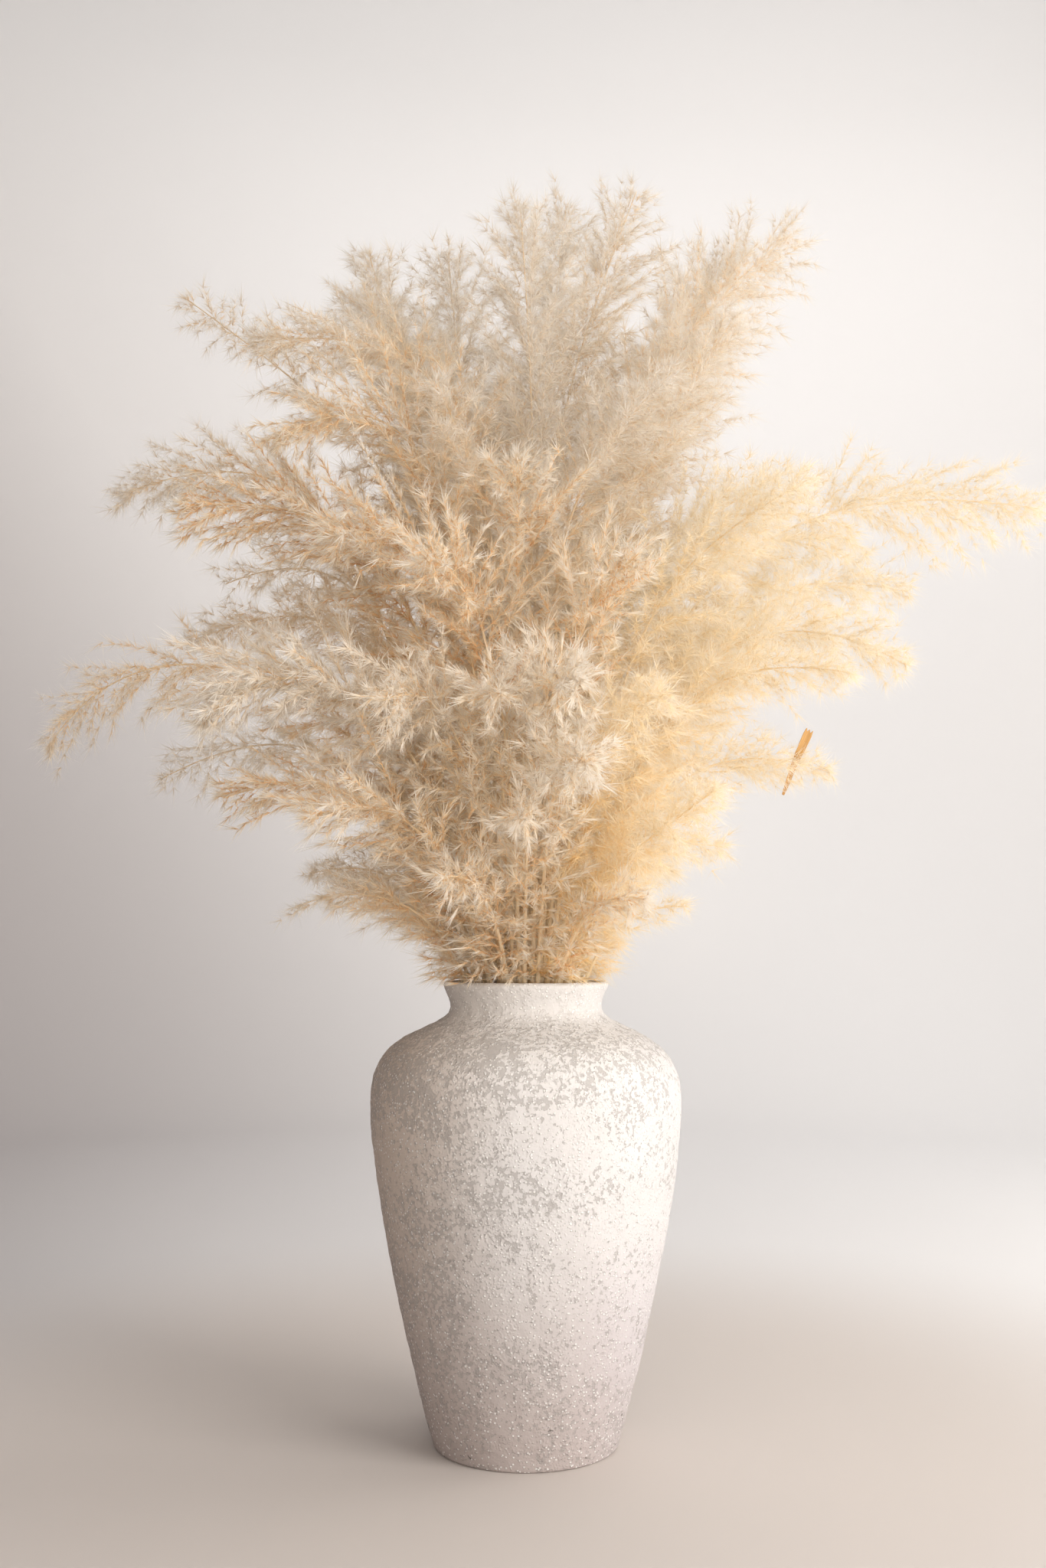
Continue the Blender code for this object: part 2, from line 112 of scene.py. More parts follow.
# The coat's other sizes: its pale dots, its grains, its smooth patches, its clouds of white and its chips
DOT_SIZE = 2.9 * MM
GRAIN_SIZE = 1.7 * MM
PATCH_SIZE = 24 * MM
CLOUD_SIZE = 60 * MM
CHIP_SIZE = 5 * MM
RELIEF = 0.5 * MM

# The coat's colours: its white in clouds, its specks, its pale dots and the dark chips at its foot
COAT_WHITES = ((0.62, 0.595, 0.58), (0.70, 0.68, 0.672), (0.76, 0.75, 0.745))
COAT_SPECKS = (0.34, 0.315, 0.30)
COAT_DOTS = (0.90, 0.88, 0.86)
COAT_CHIPS = (0.20, 0.18, 0.165)

# Painted shade over the white: tan and darker on the left, the side away from the light, darker towards the
# foot, a painted shadow of the plumes on the neck, and greyer on the right where the lamps shine brightest.
# For each: the axis along which it grows, from where to where, its strength and its colour
COAT_PAINTED_SHADES = [
    # Painted shade: tan and darker on the left side
    ("x", 0, -100 * MM, 0.8, (0.54, 0.43, 0.35)),
    # Painted shade: darker towards the foot
    ("z", 190 * MM, 0, 0.8, (0.44, 0.37, 0.35)),
    # Painted shadow of the plumes on the neck
    ("z", 262 * MM, 282 * MM, 0.5, (0.46, 0.44, 0.43)),
    # Painted shade: greyer on the right side, where the lamps shine brightest
    ("x", 30 * MM, 100 * MM, 0.55, (0.62, 0.60, 0.60)),
]
# Painted shade: a cool lavender-grey cast low on the vase's right side
PAINTED_LAVENDER_SHADE = (0.68, 0.64, 0.75)

# Bunch sizes
STEM_RADIUS = 1.6 * MM
TIP_RADIUS = 0.4 * MM
STEM_GAP = 0.3 * MM
STEM_SPACING = 7.6 * MM
STEM_PUSHES = 400
PUSH_SHARE = 0.25
NECK_REACH = 37 * MM
NECK_LEAD = 35 * MM
NECK_CROWDING = 0.65
FLOOR_SPREAD = 1.1
FLOOR_TWIST = math.radians(30)
STEM_LEVELS = 5
STEM_SIDES = 5
TIP_LEAD = 0.45
SWAY = 0.05
HEAD_POINTS = 121
AXIS_SPACING = 2 * MM
STALK_SPACING = 12 * MM

# A value for a plume of crisp tufts, and the one for a soft, hazy plume
Haze = namedtuple("Haze", "crisp hazy")

# The golden plumes are hazy. So are the cream ones with a high tip or one far back: from the first height and
# depth to the second, in millimetres.
HAZY_HEIGHT = (600, 720)
HAZY_DEPTH = (-70, 0)

# Twigs: side shoots all round a plume's axis, swept forward and drooping
FLUFF_START = 3 * MM
TWIGS_END = 0.995
TWIG_SPACING = 2.3 * MM
TWIG_DENSITY = Haze(1.0, 1.4)
CROWDED_AT_RIM = 1.15
TWIG_TURN = math.radians(137.5)
TURN_JITTER = 0.5
TWIG_WIDTH = Haze(0.55 * MM, 0.3575 * MM)
TWIG_TAPER = 0.7
SWEEP_AT_BASE = math.radians(54)
SWEEP_AT_TIP = Haze(math.radians(24), math.radians(40))
SWEEP_OPENS = 220 * MM
SWEEP_JITTER = math.radians(8)
SWEEP_RANGE = (math.radians(13), math.radians(82))
SWEEP_FOR_WIDTH = 0.3
LONGEST_TWIG = Haze(95 * MM, 68 * MM)
RIM_SPLAY = math.radians(22)
RIM_ZONE = 25 * MM
WIDTH_AT_RIM = 0.6
WIDE_FROM_RIM = 120 * MM
WIDE_FROM_TIP = 110 * MM
TIP_ROUNDNESS = 0.6
TIP_OVERHANG = 2 * MM
TWIG_LENGTH_VARIES = (0.45, 1.08)
TWIG_DROOP = (-0.06, 0.20)
LONG_DROOP = 0.14
LONG_REACH = (290, 330)
TWIG_POINTS = 9

# Plumes with more twigs than the others, by this factor
FULLER = {"plume_left_front": 1.6, "plume_front_middle": 1.5, "plume_front_low_right": 1.4,
          "plume_front_middle_left": 1.3}

# Plumes that thin out towards their tips, and the share of their twigs kept there
WISPY_ZONE = (0.2, 0.6)
WISPY = {"plume_left_lowest": 0.25, "plume_left_low_back": 0.45, "plume_left_long": 0.7,
         "plume_left_low": 0.7, "plume_left_upper_back": 0.5, "plume_left_high_back": 0.5,
         "plume_right_lowest": 0.5}

# Twigs deep inside the bunch, where no light reaches, are thinned out. How much fluff lies over a place is
# summed in cells, towards the side that has least of it, and a twig of the unit's length counts as one.
COVER_CELL = 12 * MM
COVER_UNIT = 120 * MM
COVER_FULL = 0.6
COVER_HIDDEN = 1.6
HIDDEN_KEPT = 0.10

# Tufts along each twig: a fan of awns and many silky hairs, some of them fuzz that stands off the tuft. Tufts
# are small at a plume's ends and grow towards its middle.
TUFT_SPACING = Haze(4.5 * MM, 6.2 * MM)
TUFT_START = 0.10
TUFT_JITTER = (0.3, 1.0)
TUFT_LEAN = (math.radians(14), math.radians(36))
TUFT_DEPTH = 2.2 * MM
TUFT_SIZE = 0.75
TUFT_GROWS = 0.35
TUFT_FACES = 0.35
AWNS_IN_TUFT = Haze(3, 2)
AWN_LENGTH = (10 * MM, 16 * MM)
AWN_WIDTH = Haze(0.72 * MM, 0.45 * MM)
AWN_SPREAD = (math.radians(8), math.radians(22))
TIP_AWNS_LONGER = 0.35
TIP_AWNS_PALER = 0.12
HAIRS_IN_TUFT = Haze(10, 14)
HAIR_LENGTH = (9 * MM, 15 * MM)
HAIR_LENGTHENS = Haze(1.0, 1.4)
HAIR_WIDTH = Haze(0.46 * MM, 0.38 * MM)
HAIR_WIDTH_VARIES = (0.6, 1.2)
HAIR_SPREAD = (math.radians(4), math.radians(28))
HAIR_OPENS = Haze(1.0, 54 / 28)
HAIR_FACES = 0.8
HAIR_SINKS = 0.05
FUZZ_SHARE = Haze(0.25, 0.55)
FUZZ_SPREAD = (math.radians(35), math.radians(80))
FUZZ_LENGTH = 0.75

# Tone is the place across the colour map, from 0 for dull to 1 for pale
TONE_BASE = 0.04
TONE_PALE = 0.55
# Paler along each twig: the darker tufts near a plume's core are partly painted shade
TONE_ALONG = 0.27
# Painted light and shade: paler towards a plume's tip, where light shines through, and darker towards the rim
PAINTED_LIGHT_TO_TIP = {"cream": 0.40, "golden": 0.70}
TONE_HAZY = {"cream": 0.36, "golden": 0.16}
TONE_RANGE = (0.01, 0.99)
STEM_TONE = 0.5
TWIG_TONE = Haze(0.5, 0.8)
AWN_TONE = {"cream": Haze(0.45, -0.28), "golden": Haze(-0.25, -0.25)}
TWIG_TONE_VARIES = 0.11
HAIR_TONE_VARIES = 0.06
CONTRAST = Haze(1.0, 0.4)

# What a triangle takes of the map: from the first height at its root to the second at its tip, and its width
STEM_ON_MAP = (0.3, 0.9, 0.2)
TWIG_ON_MAP = (0.35, 0.8, 0.05)
AWN_ON_MAP = (0.25, 1.0, 0.04)
HAIR_ON_MAP = (0.0, 1.0, 0.03)

# Fluff stays this far above the vase, whose top is this line of radii and heights
RIM_CLEARANCE = 1.2 * MM
VASE_TOP = [(0, VASE_HEIGHT), (RIM_RADIUS + 2 * MM, VASE_HEIGHT),
            (RIM_RADIUS + 14 * MM, VASE_HEIGHT - 16 * MM),
            (SHOULDER_RADIUS + 6 * MM, SHOULDER_HEIGHT + 2 * MM)]

# Hair points that pass the CAD box by more than the slack are pressed back by this share of the rest
BOX_SLACK = 4 * MM
BOX_PRESS = 0.6

# Dried leaf scrap, caught on the plume named below, and the radius of that plume's core where it lies
LEAF_PLUME = "plume_right_caught_leaf"
LEAF_LENGTH = 50 * MM
LEAF_WIDTH = 7 * MM
LEAF_TAIL = 1.6 * MM
LEAF_WIDENS = 0.8
LEAF_THICKNESS = 0.8 * MM
LEAF_SHEET = 0.35 * MM
LEAF_ARCH = 1.8 * MM
LEAF_TWIST = 0.22
LEAF_ROLL = 0.9 * MM
LEAF_RIB = 0.25 * MM
LEAF_NARROWS_FROM = 0.93
LEAF_NARROWS = 0.18
LEAF_TORN_FROM = 0.96
LEAF_TORN = 1.1 * MM
LEAF_TILT = math.radians(23)
LEAF_AT = 0.9
LEAF_GRID = (60, 12)
LEAF_COLOURS = ((0.42, 0.20, 0.06), (0.66, 0.38, 0.13), (0.80, 0.55, 0.26))
LEAF_BLOTCHES = (0.74, 0.46, 0.18)
LEAF_THROUGH = 0.25
LEAF_CORE = 1.4 * MM

# Camera, and the most times that light bounces: in all, off matt surfaces and through them
CAMERA_PLACE = (-1.9 * MM, -1042 * MM, 327.6 * MM)
CAMERA_TILT = math.radians(5.825)
CAMERA_LENS = 35.12
CAMERA_NEAR = 20 * MM
MOST_BOUNCES = (5, 3, 3)

# Stage, in metres: a flat floor, a bend and a wall. The wall runs through these colours from left to right, a
# painted shade that is greyer on the left, away from the light, and the floor is beige inside the first
# distance, fading out up to the second.
FLOOR_FLAT = 0.5
FLOOR_RADIUS = 1.7
BACKDROP_RADIUS = 2.6
BACKDROP_HEIGHT = 2.9
BACKDROP_COLUMNS = 96
BACKDROP_ROWS = 16
WALL_PAINTED_SHADES = ((0.50, 0.465, 0.455), (0.80, 0.775, 0.76), (0.92, 0.905, 0.895))
WALL_RUN = (-1.5, 0.65)
BEIGE = (0.66, 0.59, 0.54)
BEIGE_REACH = (0.28, 0.75)

# Lights: soft daylight from the right, a warm fill from the room and a narrow one on the front of the bunch,
# light from the side, from above and on the wall. Metres, watts and degrees.
Light = namedtuple("Light", "name place target size power colour spread", defaults=(180,))
LIGHTS = [
    Light("window", (1.6, -1.25, 0.88), (0, 0, 0.42), 1.4, 34, (1.0, 0.97, 0.93)),
    Light("room", (0.2, -2.1, 0.5), (0, 0, 0.42), 1.6, 13, (1.0, 0.91, 0.80)),
    Light("front_glow", (-0.1, -1.9, 0.36), (0, 0, 0.45), 0.25, 0.12, (1.0, 0.84, 0.64), 13),
    Light("side", (1.5, 0.35, 0.36), (0.1, 0, 0.36), 0.9, 7, (1.0, 0.95, 0.87)),
    Light("sky", (0.3, 0.2, 2.6), (0, 0, 0.4), 2.4, 18, (0.97, 0.98, 1.0)),
    Light("wall_wash", (0.4, 1.1, 2.3), (0.1, 2.6, 1.7), 1.2, 10.5, (1.0, 0.98, 0.96)),
]
DAYLIGHT = (0.93, 0.95, 1.0)
DAYLIGHT_STRENGTH = 0.22

# Each plume lies in an upright plane through the vase axis, at an azimuth from +X, towards +Y. Its tip is
# `reach` from that axis at `height`. It leaves the neck at `lean` from upright, keeps that line for about
# `rise`, and its tip points at `droop` from upright. `width` is half the fluff's width. Millimetres, degrees.
# `pale` is how pale the plume is beside the others of its colour; the low values of the plumes on the left
# are partly painted shade, for the side of the bunch away from the light. `tone` is left out for cream.
Plume = namedtuple("Plume", "name azimuth reach height lean rise droop width pale tone", defaults=("cream",))
PLUMES = [Plume(*row) for row in (
    ("plume_left_high_back", 155, 300, 836, 6, 360, 52, 38, 0.3),
    ("plume_left_high", 189, 190, 735, 5, 280, 100, 48, 0.25),
    ("plume_left_front_high", 214, 190, 640, 6, 225, 128, 45, 0.4),
    ("plume_left_upper", 171, 302, 650, 18, 270, 110, 42, 0.4),
    ("plume_left_upper_front", 204, 240, 600, 10, 235, 104, 46, 0.35),
    ("plume_left_upper_back", 147, 285, 610, 18, 245, 98, 39, 0.3),
    ("plume_left_middle", 166, 252, 545, 12, 225, 112, 39, 0.3),
    ("plume_left_long", 183, 324, 455, 8, 200, 150, 34, 0.35),
    ("plume_left_front", 220, 247, 453, 10, 165, 136, 42, 1.15),
    ("plume_left_low_back", 156, 307, 450, 20, 190, 112, 35, 0.6),
    ("plume_left_low", 199, 205, 418, 14, 120, 112, 42, 0.35),
    ("plume_left_low_rim", 168, 155, 374, 20, 70, 104, 38, 0.5),
    ("plume_left_lowest", 143, 222, 352, 20, 75, 108, 36, 0.6),
    ("plume_left_front_low", 229, 196, 398, 18, 100, 112, 42, 0.75),
    ("plume_top_left_back", 142, 180, 830, 14, 330, 48, 45, 0.35),
    ("plume_top_left", 166, 118, 827, 6, 320, 16, 50, 0.5),
    ("plume_top_back", 116, 140, 872, 6, 350, 24, 54, 0.6),
    ("plume_top_middle", 262, 28, 834, 2, 320, 4, 64, 0.75),
    ("plume_top_middle_back", 66, 76, 881, 3, 350, 12, 57, 0.6),
    ("plume_top_right", 12, 82, 867, 4, 345, 20, 58, 0.45),
    ("plume_top_right_large", 14, 203, 850, 6, 300, 48, 66, 0.4),
    ("plume_top_right_back", 28, 172, 850, 5, 320, 26, 52, 0.5),
    ("plume_top_right_front", 340, 150, 745, 8, 290, 36, 54, 0.45),
    ("plume_right_front_high", 310, 144, 684, 16, 240, 62, 48, 0.65),
    # The golden tone is painted warm sunlight: golden copies of the cream plumes on the bunch's lit right
    # side
    ("plume_right_upper", 358, 182, 652, 8, 260, 60, 50, 1.1, "golden"),
    ("plume_right_long", 4, 368, 634, 10, 285, 98, 50, 1, "golden"),
    ("plume_right_middle_back", 18, 304, 590, 20, 240, 96, 45, 0.95, "golden"),
    ("plume_right_middle", 355, 258, 512, 8, 190, 124, 42, 0.9, "golden"),
    ("plume_right_front_upper", 328, 210, 615, 18, 215, 70, 48, 0.85, "golden"),
    ("plume_right_front_middle", 336, 224, 495, 16, 165, 104, 42, 0.8, "golden"),
    (LEAF_PLUME, 13, 226, 447, 18, 150, 106, 34, 0.95, "golden"),
    ("plume_right_front_low", 314, 166, 419, 20, 100, 60, 39, 0.75, "golden"),
    ("plume_right_low", 8, 140, 392, 18, 100, 96, 36, 0.95, "golden"),
    ("plume_right_low_back", 31, 128, 376, 20, 60, 96, 31, 0.9, "golden"),
    ("plume_right_lowest", 349, 110, 350, 20, 50, 92, 30, 0.95, "golden"),
    ("plume_front_middle", 279, 192, 473, 10, 150, 104, 39, 1),
    ("plume_front_low_right", 280, 202, 424, 16, 125, 108, 36, 1.05),
    ("plume_front_middle_left", 265, 180, 468, 10, 145, 104, 36, 0.95),
    ("plume_front_low", 269, 170, 396, 18, 95, 106, 34, 0.85),
    ("plume_front_top_left", 243, 123, 676, 8, 240, 58, 48, 0.6),
    ("plume_front_top", 268, 141, 617, 8, 210, 74, 48, 0.55),
    ("plume_front_upper_right", 291, 176, 550, 12, 190, 88, 45, 0.5),
    ("plume_front_upper_left", 253, 196, 545, 12, 190, 96, 45, 0.5),
    ("plume_front_right", 297, 180, 470, 16, 150, 92, 39, 0.65, "golden"),
    ("plume_front_lowest", 251, 152, 364, 20, 65, 98, 34, 0.75),
    ("plume_front_left_upper", 232, 192, 570, 8, 205, 104, 45, 0.5),
    ("plume_front_left", 247, 206, 462, 14, 160, 108, 39, 0.95),
    ("plume_left_rim", 197, 138, 356, 20, 60, 98, 34, 0.55),
    ("plume_front_right_rim", 301, 138, 352, 20, 60, 98, 34, 0.8),
    ("plume_back_right_rim", 66, 140, 360, 20, 62, 96, 34, 0.5, "golden"),
    ("plume_back_left_rim", 112, 138, 350, 20, 58, 98, 34, 0.45),
    ("plume_back_high_right", 48, 190, 800, 8, 310, 44, 50, 0.5),
    ("plume_back_high_left", 98, 210, 775, 8, 310, 52, 50, 0.5),
    ("plume_back_upper", 76, 275, 650, 14, 270, 88, 45, 0.55),
    ("plume_back_right", 46, 288, 560, 16, 235, 100, 42, 0.6, "golden"),
    ("plume_back_left", 118, 290, 545, 16, 225, 100, 42, 0.5),
    ("plume_back_low", 88, 255, 440, 20, 150, 112, 39, 0.5),
)]

# Plume colours along the map, from dull to pale: where a hair starts, and where it ends. The darker, more
# saturated root colours are partly the fibres' own browner bases and partly painted warm shade, for light
# bouncing among the hairs deep in the tufts.
PLUME_COLOURS = {
    "cream": (((0.72, 0.38, 0.16), (0.90, 0.57, 0.29), (0.97, 0.73, 0.46), (0.86, 0.77, 0.66)),
              ((0.90, 0.66, 0.40), (0.97, 0.80, 0.55), (0.99, 0.92, 0.77), (0.95, 0.92, 0.87))),
    # Painted warm sunlight: these colours stand for sunlight on the right side of the bunch
    "golden": (((0.96, 0.49, 0.11), (0.99, 0.71, 0.33), (0.99, 0.86, 0.64)),
               ((0.97, 0.72, 0.37), (0.99, 0.87, 0.65), (0.99, 0.95, 0.87))),
}
MAP_NAME = "OFBake"

# Share of the light that shines through a hair
THROUGH = {"cream": 0.55, "golden": 0.58}


# Lines and frames

def bezier(start, start_handle, end_handle, end, count):
    """Points along a cubic curve, with both ends."""
    t = np.linspace(0, 1, count)[:, None]
    corners = [np.asarray(p, float) for p in (start, start_handle, end_handle, end)]
    weights = ((1 - t) ** 3, 3 * (1 - t) ** 2 * t, 3 * (1 - t) * t ** 2, t ** 3)
    return sum(w * p for w, p in zip(weights, corners))


def unit(vectors):
    """Each row at length 1."""
    return vectors / np.maximum(np.linalg.norm(vectors, axis=-1, keepdims=True), 1e-12)


def neck_places():
    """Where each stem passes the neck: low plumes outermost, then pushed apart to an even spacing."""
    places = []
    for plume in PLUMES:
        fall = math.atan2(plume.reach * MM, plume.height * MM - VASE_HEIGHT) / (math.pi / 2)
        radius = NECK_REACH * min(1.0, fall) ** NECK_CROWDING
        angle = math.radians(plume.azimuth)
        places.append((radius * math.cos(angle), radius * math.sin(angle)))
    places = np.array(places)
    for _ in range(STEM_PUSHES):
        apart = places[:, None] - places[None]
        distance = np.linalg.norm(apart, axis=2) + np.eye(len(places))
        push = np.clip(STEM_SPACING - distance, 0, None) * (1 - np.eye(len(places)))
        places = places + PUSH_SHARE * (apart / distance[..., None] * push[..., None]).sum(axis=1)
        radius = np.linalg.norm(places, axis=1)[:, None]
        places = places * np.minimum(1.0, NECK_REACH / radius)
    return places


def lean_direction(azimuth, lean):
    """A unit vector at this azimuth and this angle from upright, both in degrees."""
    turn, tip = math.radians(azimuth), math.radians(lean)
    return np.array([math.sin(tip) * math.cos(turn), math.sin(tip) * math.sin(turn), math.cos(tip)])


def stem_line(plume, place):
    """The stem's centre line, from the vase floor to the neck. The stems turn about each other on the way."""
    neck = np.array([place[0], place[1], NECK_HEIGHT])
    cosine, sine = FLOOR_SPREAD * math.cos(FLOOR_TWIST), FLOOR_SPREAD * math.sin(FLOOR_TWIST)
    foot = np.array([cosine * place[0] - sine * place[1], sine * place[0] + cosine * place[1],
                     FLOOR_THICKNESS + STEM_GAP])
    lead = NECK_LEAD * lean_direction(plume.azimuth, plume.lean)
    return bezier(foot, foot + (neck - foot) / 3, neck - lead, neck, STEM_LEVELS + 1)


def head_line(plume, place, sway):
    """The centre line of the plume's head, from the neck to the tip, with a slight sideways bow."""
    neck = np.array([place[0], place[1], NECK_HEIGHT])
    tip = plume.reach * MM * lean_direction(plume.azimuth, 90) + (0, 0, plume.height * MM)
    length = np.linalg.norm(tip - neck)
    rise = plume.rise * MM * lean_direction(plume.azimuth, plume.lean)
    lead = TIP_LEAD * length * lean_direction(plume.azimuth, plume.droop)
    bow = sway * length * lean_direction(plume.azimuth + 90, 90)
    return bezier(neck, neck + rise, tip - lead + bow, tip, HEAD_POINTS)


def even_points(line, spacing):
    """Points at an even spacing along a line, with both ends."""
    steps = np.linalg.norm(np.diff(line, axis=0), axis=1)
    travelled = np.concatenate([[0], np.cumsum(steps)])
    count = max(4, round(travelled[-1] / spacing))
    marks = np.linspace(0, travelled[-1], count + 1)
    return np.column_stack([np.interp(marks, travelled, line[:, axis]) for axis in range(3)])


def carried_frames(points):
    """At each point of a line its direction and two square directions that turn with it, without twist."""
    along = unit(np.gradient(points, axis=0))
    side = np.cross(along[0], (0.0, 1.0, 0.0))
    sides = []
    for direction in along:
        side = side - direction * (side @ direction)
        side = side / np.linalg.norm(side)
        sides.append(side)
    sides = np.array(sides)
    return along, sides, np.cross(along, sides)


def fluff_width(plume, from_rim, from_tip):
    """Half the fluff's width at these distances from the rim and from the tip, along the plume."""
    at_rim = np.interp(from_rim, [0, WIDE_FROM_RIM], [WIDTH_AT_RIM, 1.0])
    return plume.width * MM * at_rim * np.minimum(1.0, (from_tip / WIDE_FROM_TIP) ** TIP_ROUNDNESS)


# Materials

class Nodes:
    """Adds shader nodes to one material and links them."""

    def __init__(self, name):
        self.material = bpy.data.materials.new(name)
        self.material.use_nodes = True
        self.tree = self.material.node_tree
        self.shader = self.tree.nodes["Principled BSDF"]
        self.output = self.tree.nodes["Material Output"]

    def put(self, value, socket):
        """Link another node's output to a socket, or set the socket to a number or a colour."""
        if isinstance(value, bpy.types.NodeSocket):
            self.tree.links.new(value, socket)
        elif socket.type == "RGBA":
            socket.default_value = (*value, 1)
        else:
            socket.default_value = value

    def add(self, kind, inputs=(), **settings):
        """A node with these settings and inputs."""
        node = self.tree.nodes.new(kind)
        for setting, value in settings.items():
            setattr(node, setting, value)
        for place, value in dict(inputs).items():
            self.put(value, node.inputs[place])
        return node

    def places(self, kind, output, **settings):
        """Where each point is, and the three parts of that."""
        place = self.add(kind, **settings).outputs[output]
        return place, *self.add("ShaderNodeSeparateXYZ", {0: place}).outputs

    def maths(self, operation, *values):
        """The result of one operation on numbers."""
        return self.add("ShaderNodeMath", dict(enumerate(values)), operation=operation).outputs[0]

    def times(self, first, second):
        """The product of two numbers."""
        return self.maths("MULTIPLY", first, second)

    def added(self, value, factor, base):
        """A base with so many times a value on top."""
        return self.maths("MULTIPLY_ADD", value, factor, base)

    def between(self, value, low, high):
        """0 below low, 1 above high, and smooth in between."""
        inputs = {"Value": value, "From Min": low, "From Max": high}
        return self.add("ShaderNodeMapRange", inputs, interpolation_type="SMOOTHSTEP").outputs[0]

    def noise(self, place, size, detail=2.0, roughness=0.5):
        """Cloudy noise from 0 to 1 whose lumps have about this size."""
        inputs = {"Vector": place, "Scale": 1 / size, "Detail": detail, "Roughness": roughness}
        return self.add("ShaderNodeTexNoise", inputs).outputs["Fac"]

    def cells(self, place, size, **settings):
        """How far each place is from the middle of its cell, in cells of about this size."""
        inputs = {"Vector": place, "Scale": 1 / size, "Randomness": 1.0}
        return self.add("ShaderNodeTexVoronoi", inputs, **settings).outputs["Distance"]

    def mixed(self, share, first, second):
        """A colour between two, by a share from 0 to 1."""
        return self.add("ShaderNodeMix", data_type="RGBA", inputs={0: share, 6: first, 7: second}).outputs[2]

    def ramp(self, place, colours):
        """Colours spread evenly from 0 to 1."""
        node = self.add("ShaderNodeValToRGB", {"Fac": place})
        stops = node.color_ramp.elements
        while len(stops) < len(colours):
            stops.new(0.5)
        for number, colour in enumerate(colours):
            stops[number].position = number / (len(colours) - 1)
            stops[number].color = (*colour, 1)
        return node.outputs["Color"]

    def surface(self, colour, roughness, shine):
        """Give the surface its colour, its roughness and its specular level."""
        self.put(colour, self.shader.inputs["Base Color"])
        self.put(roughness, self.shader.inputs["Roughness"])
        self.put(shine, self.shader.inputs["Specular IOR Level"])

    def relief(self, height, strength, depth):
        """Raise the surface by a height from 0 to 1."""
        bump = self.add("ShaderNodeBump", {"Height": height, "Strength": strength, "Distance": depth})
        self.put(bump.outputs[0], self.shader.inputs["Normal"])

    def shine_through(self, colour, share):
        """Let a share of the light pass through to the other side."""
        through = self.add("ShaderNodeBsdfTranslucent", {"Color": colour})
        both = {0: share, 1: self.shader.outputs[0], 2: through.outputs[0]}
        self.put(self.add("ShaderNodeMixShader", both).outputs[0], self.output.inputs["Surface"])


def plume_material(tone):
    """Thin dry fibre: its colour comes from the UV map, and some light shines through it."""
    nodes = Nodes(tone + "_plume")
    _, across, up, _ = nodes.places("ShaderNodeUVMap", 0, uv_map=MAP_NAME)
    root, tip = (nodes.ramp(across, colours) for colours in PLUME_COLOURS[tone])
    colour = nodes.mixed(nodes.between(up, 0.0, 0.8), root, tip)
    nodes.surface(colour, 0.62, 0.25)
    nodes.shine_through(colour, THROUGH[tone])
    return nodes.material


def coat_specks(nodes, place, x, z):
    """Where the coat lies thin: in specks, most on the shoulder and the left, fewest on the neck."""
    below_neck = nodes.maths("SUBTRACT", 1.0, nodes.between(z, 262 * MM, 280 * MM))
    shoulder = nodes.times(nodes.between(z, 190 * MM, 245 * MM), below_neck)
    leftward = nodes.between(x, 90 * MM, -90 * MM)
    fine = nodes.noise(place, SPECK_SIZE, 3, 0.6)
    clumps = nodes.noise(place, SPECK_CLUMPS)
    areas = nodes.noise(place, SPECK_AREAS)
    cover = nodes.added(clumps, 0.40, nodes.times(areas, 0.42))
    cover = nodes.added(shoulder, SHOULDER_SPECKS, cover)
    cover = nodes.added(leftward, LEFT_SPECKS, cover)
    specks = nodes.between(nodes.maths("ADD", fine, cover), *SPECK_EDGE)
    neck = nodes.between(z, 272 * MM, 284 * MM)
    return nodes.times(specks, nodes.added(neck, -NECK_LACKS_SPECKS, 1.0))


def coat_material():
    """Chalky white coat of fine grains, with grey specks where it lies thin, dark chips at its foot, and
    painted shade on its sides, foot and neck.
    """
    nodes = Nodes("rough_coat")
    place, x, _, z = nodes.places("ShaderNodeTexCoord", "Object")
    specks = coat_specks(nodes, place, x, z)
    dots = nodes.between(nodes.cells(place, DOT_SIZE), 0.30, 0.16)
    grains = nodes.between(nodes.cells(place, GRAIN_SIZE, feature="SMOOTH_F1"), 0.5, 0.05)
    patches = nodes.between(nodes.noise(place, PATCH_SIZE), 0.42, 0.60)

    colour = nodes.ramp(nodes.noise(place, CLOUD_SIZE, 3), COAT_WHITES)
    # Painted shade: a lavender-grey cast low on the right side
    painted_shade_low_right = nodes.times(nodes.between(x, 0.0, 90 * MM), nodes.between(z, 170 * MM, 30 * MM))
    colour = nodes.mixed(nodes.times(painted_shade_low_right, 0.75), colour, PAINTED_LAVENDER_SHADE)
    # Painted shade: each entry darkens the white along its axis
    for axis, start, end, strength, shade_colour in COAT_PAINTED_SHADES:
        grown = nodes.between({"x": x, "z": z}[axis], start, end)
        colour = nodes.mixed(nodes.times(grown, strength), colour, shade_colour)
    colour = nodes.mixed(nodes.times(specks, 0.55), colour, COAT_SPECKS)
    colour = nodes.mixed(nodes.times(dots, 0.85), colour, COAT_DOTS)
    chips = nodes.between(nodes.noise(place, CHIP_SIZE), 0.70, 0.72)
    colour = nodes.mixed(nodes.times(chips, nodes.between(z, 50 * MM, 20 * MM)), colour, COAT_CHIPS)
    nodes.surface(colour, 0.92, 0.2)

    height = nodes.times(grains, nodes.added(patches, 0.6, 0.15))
    height = nodes.added(dots, 1.1, height)
    height = nodes.added(specks, -0.5, height)
    height = nodes.added(nodes.noise(place, 2.4 * MM, 4, 0.6), 0.8, height)
    nodes.relief(height, 0.85, RELIEF)
    return nodes.material


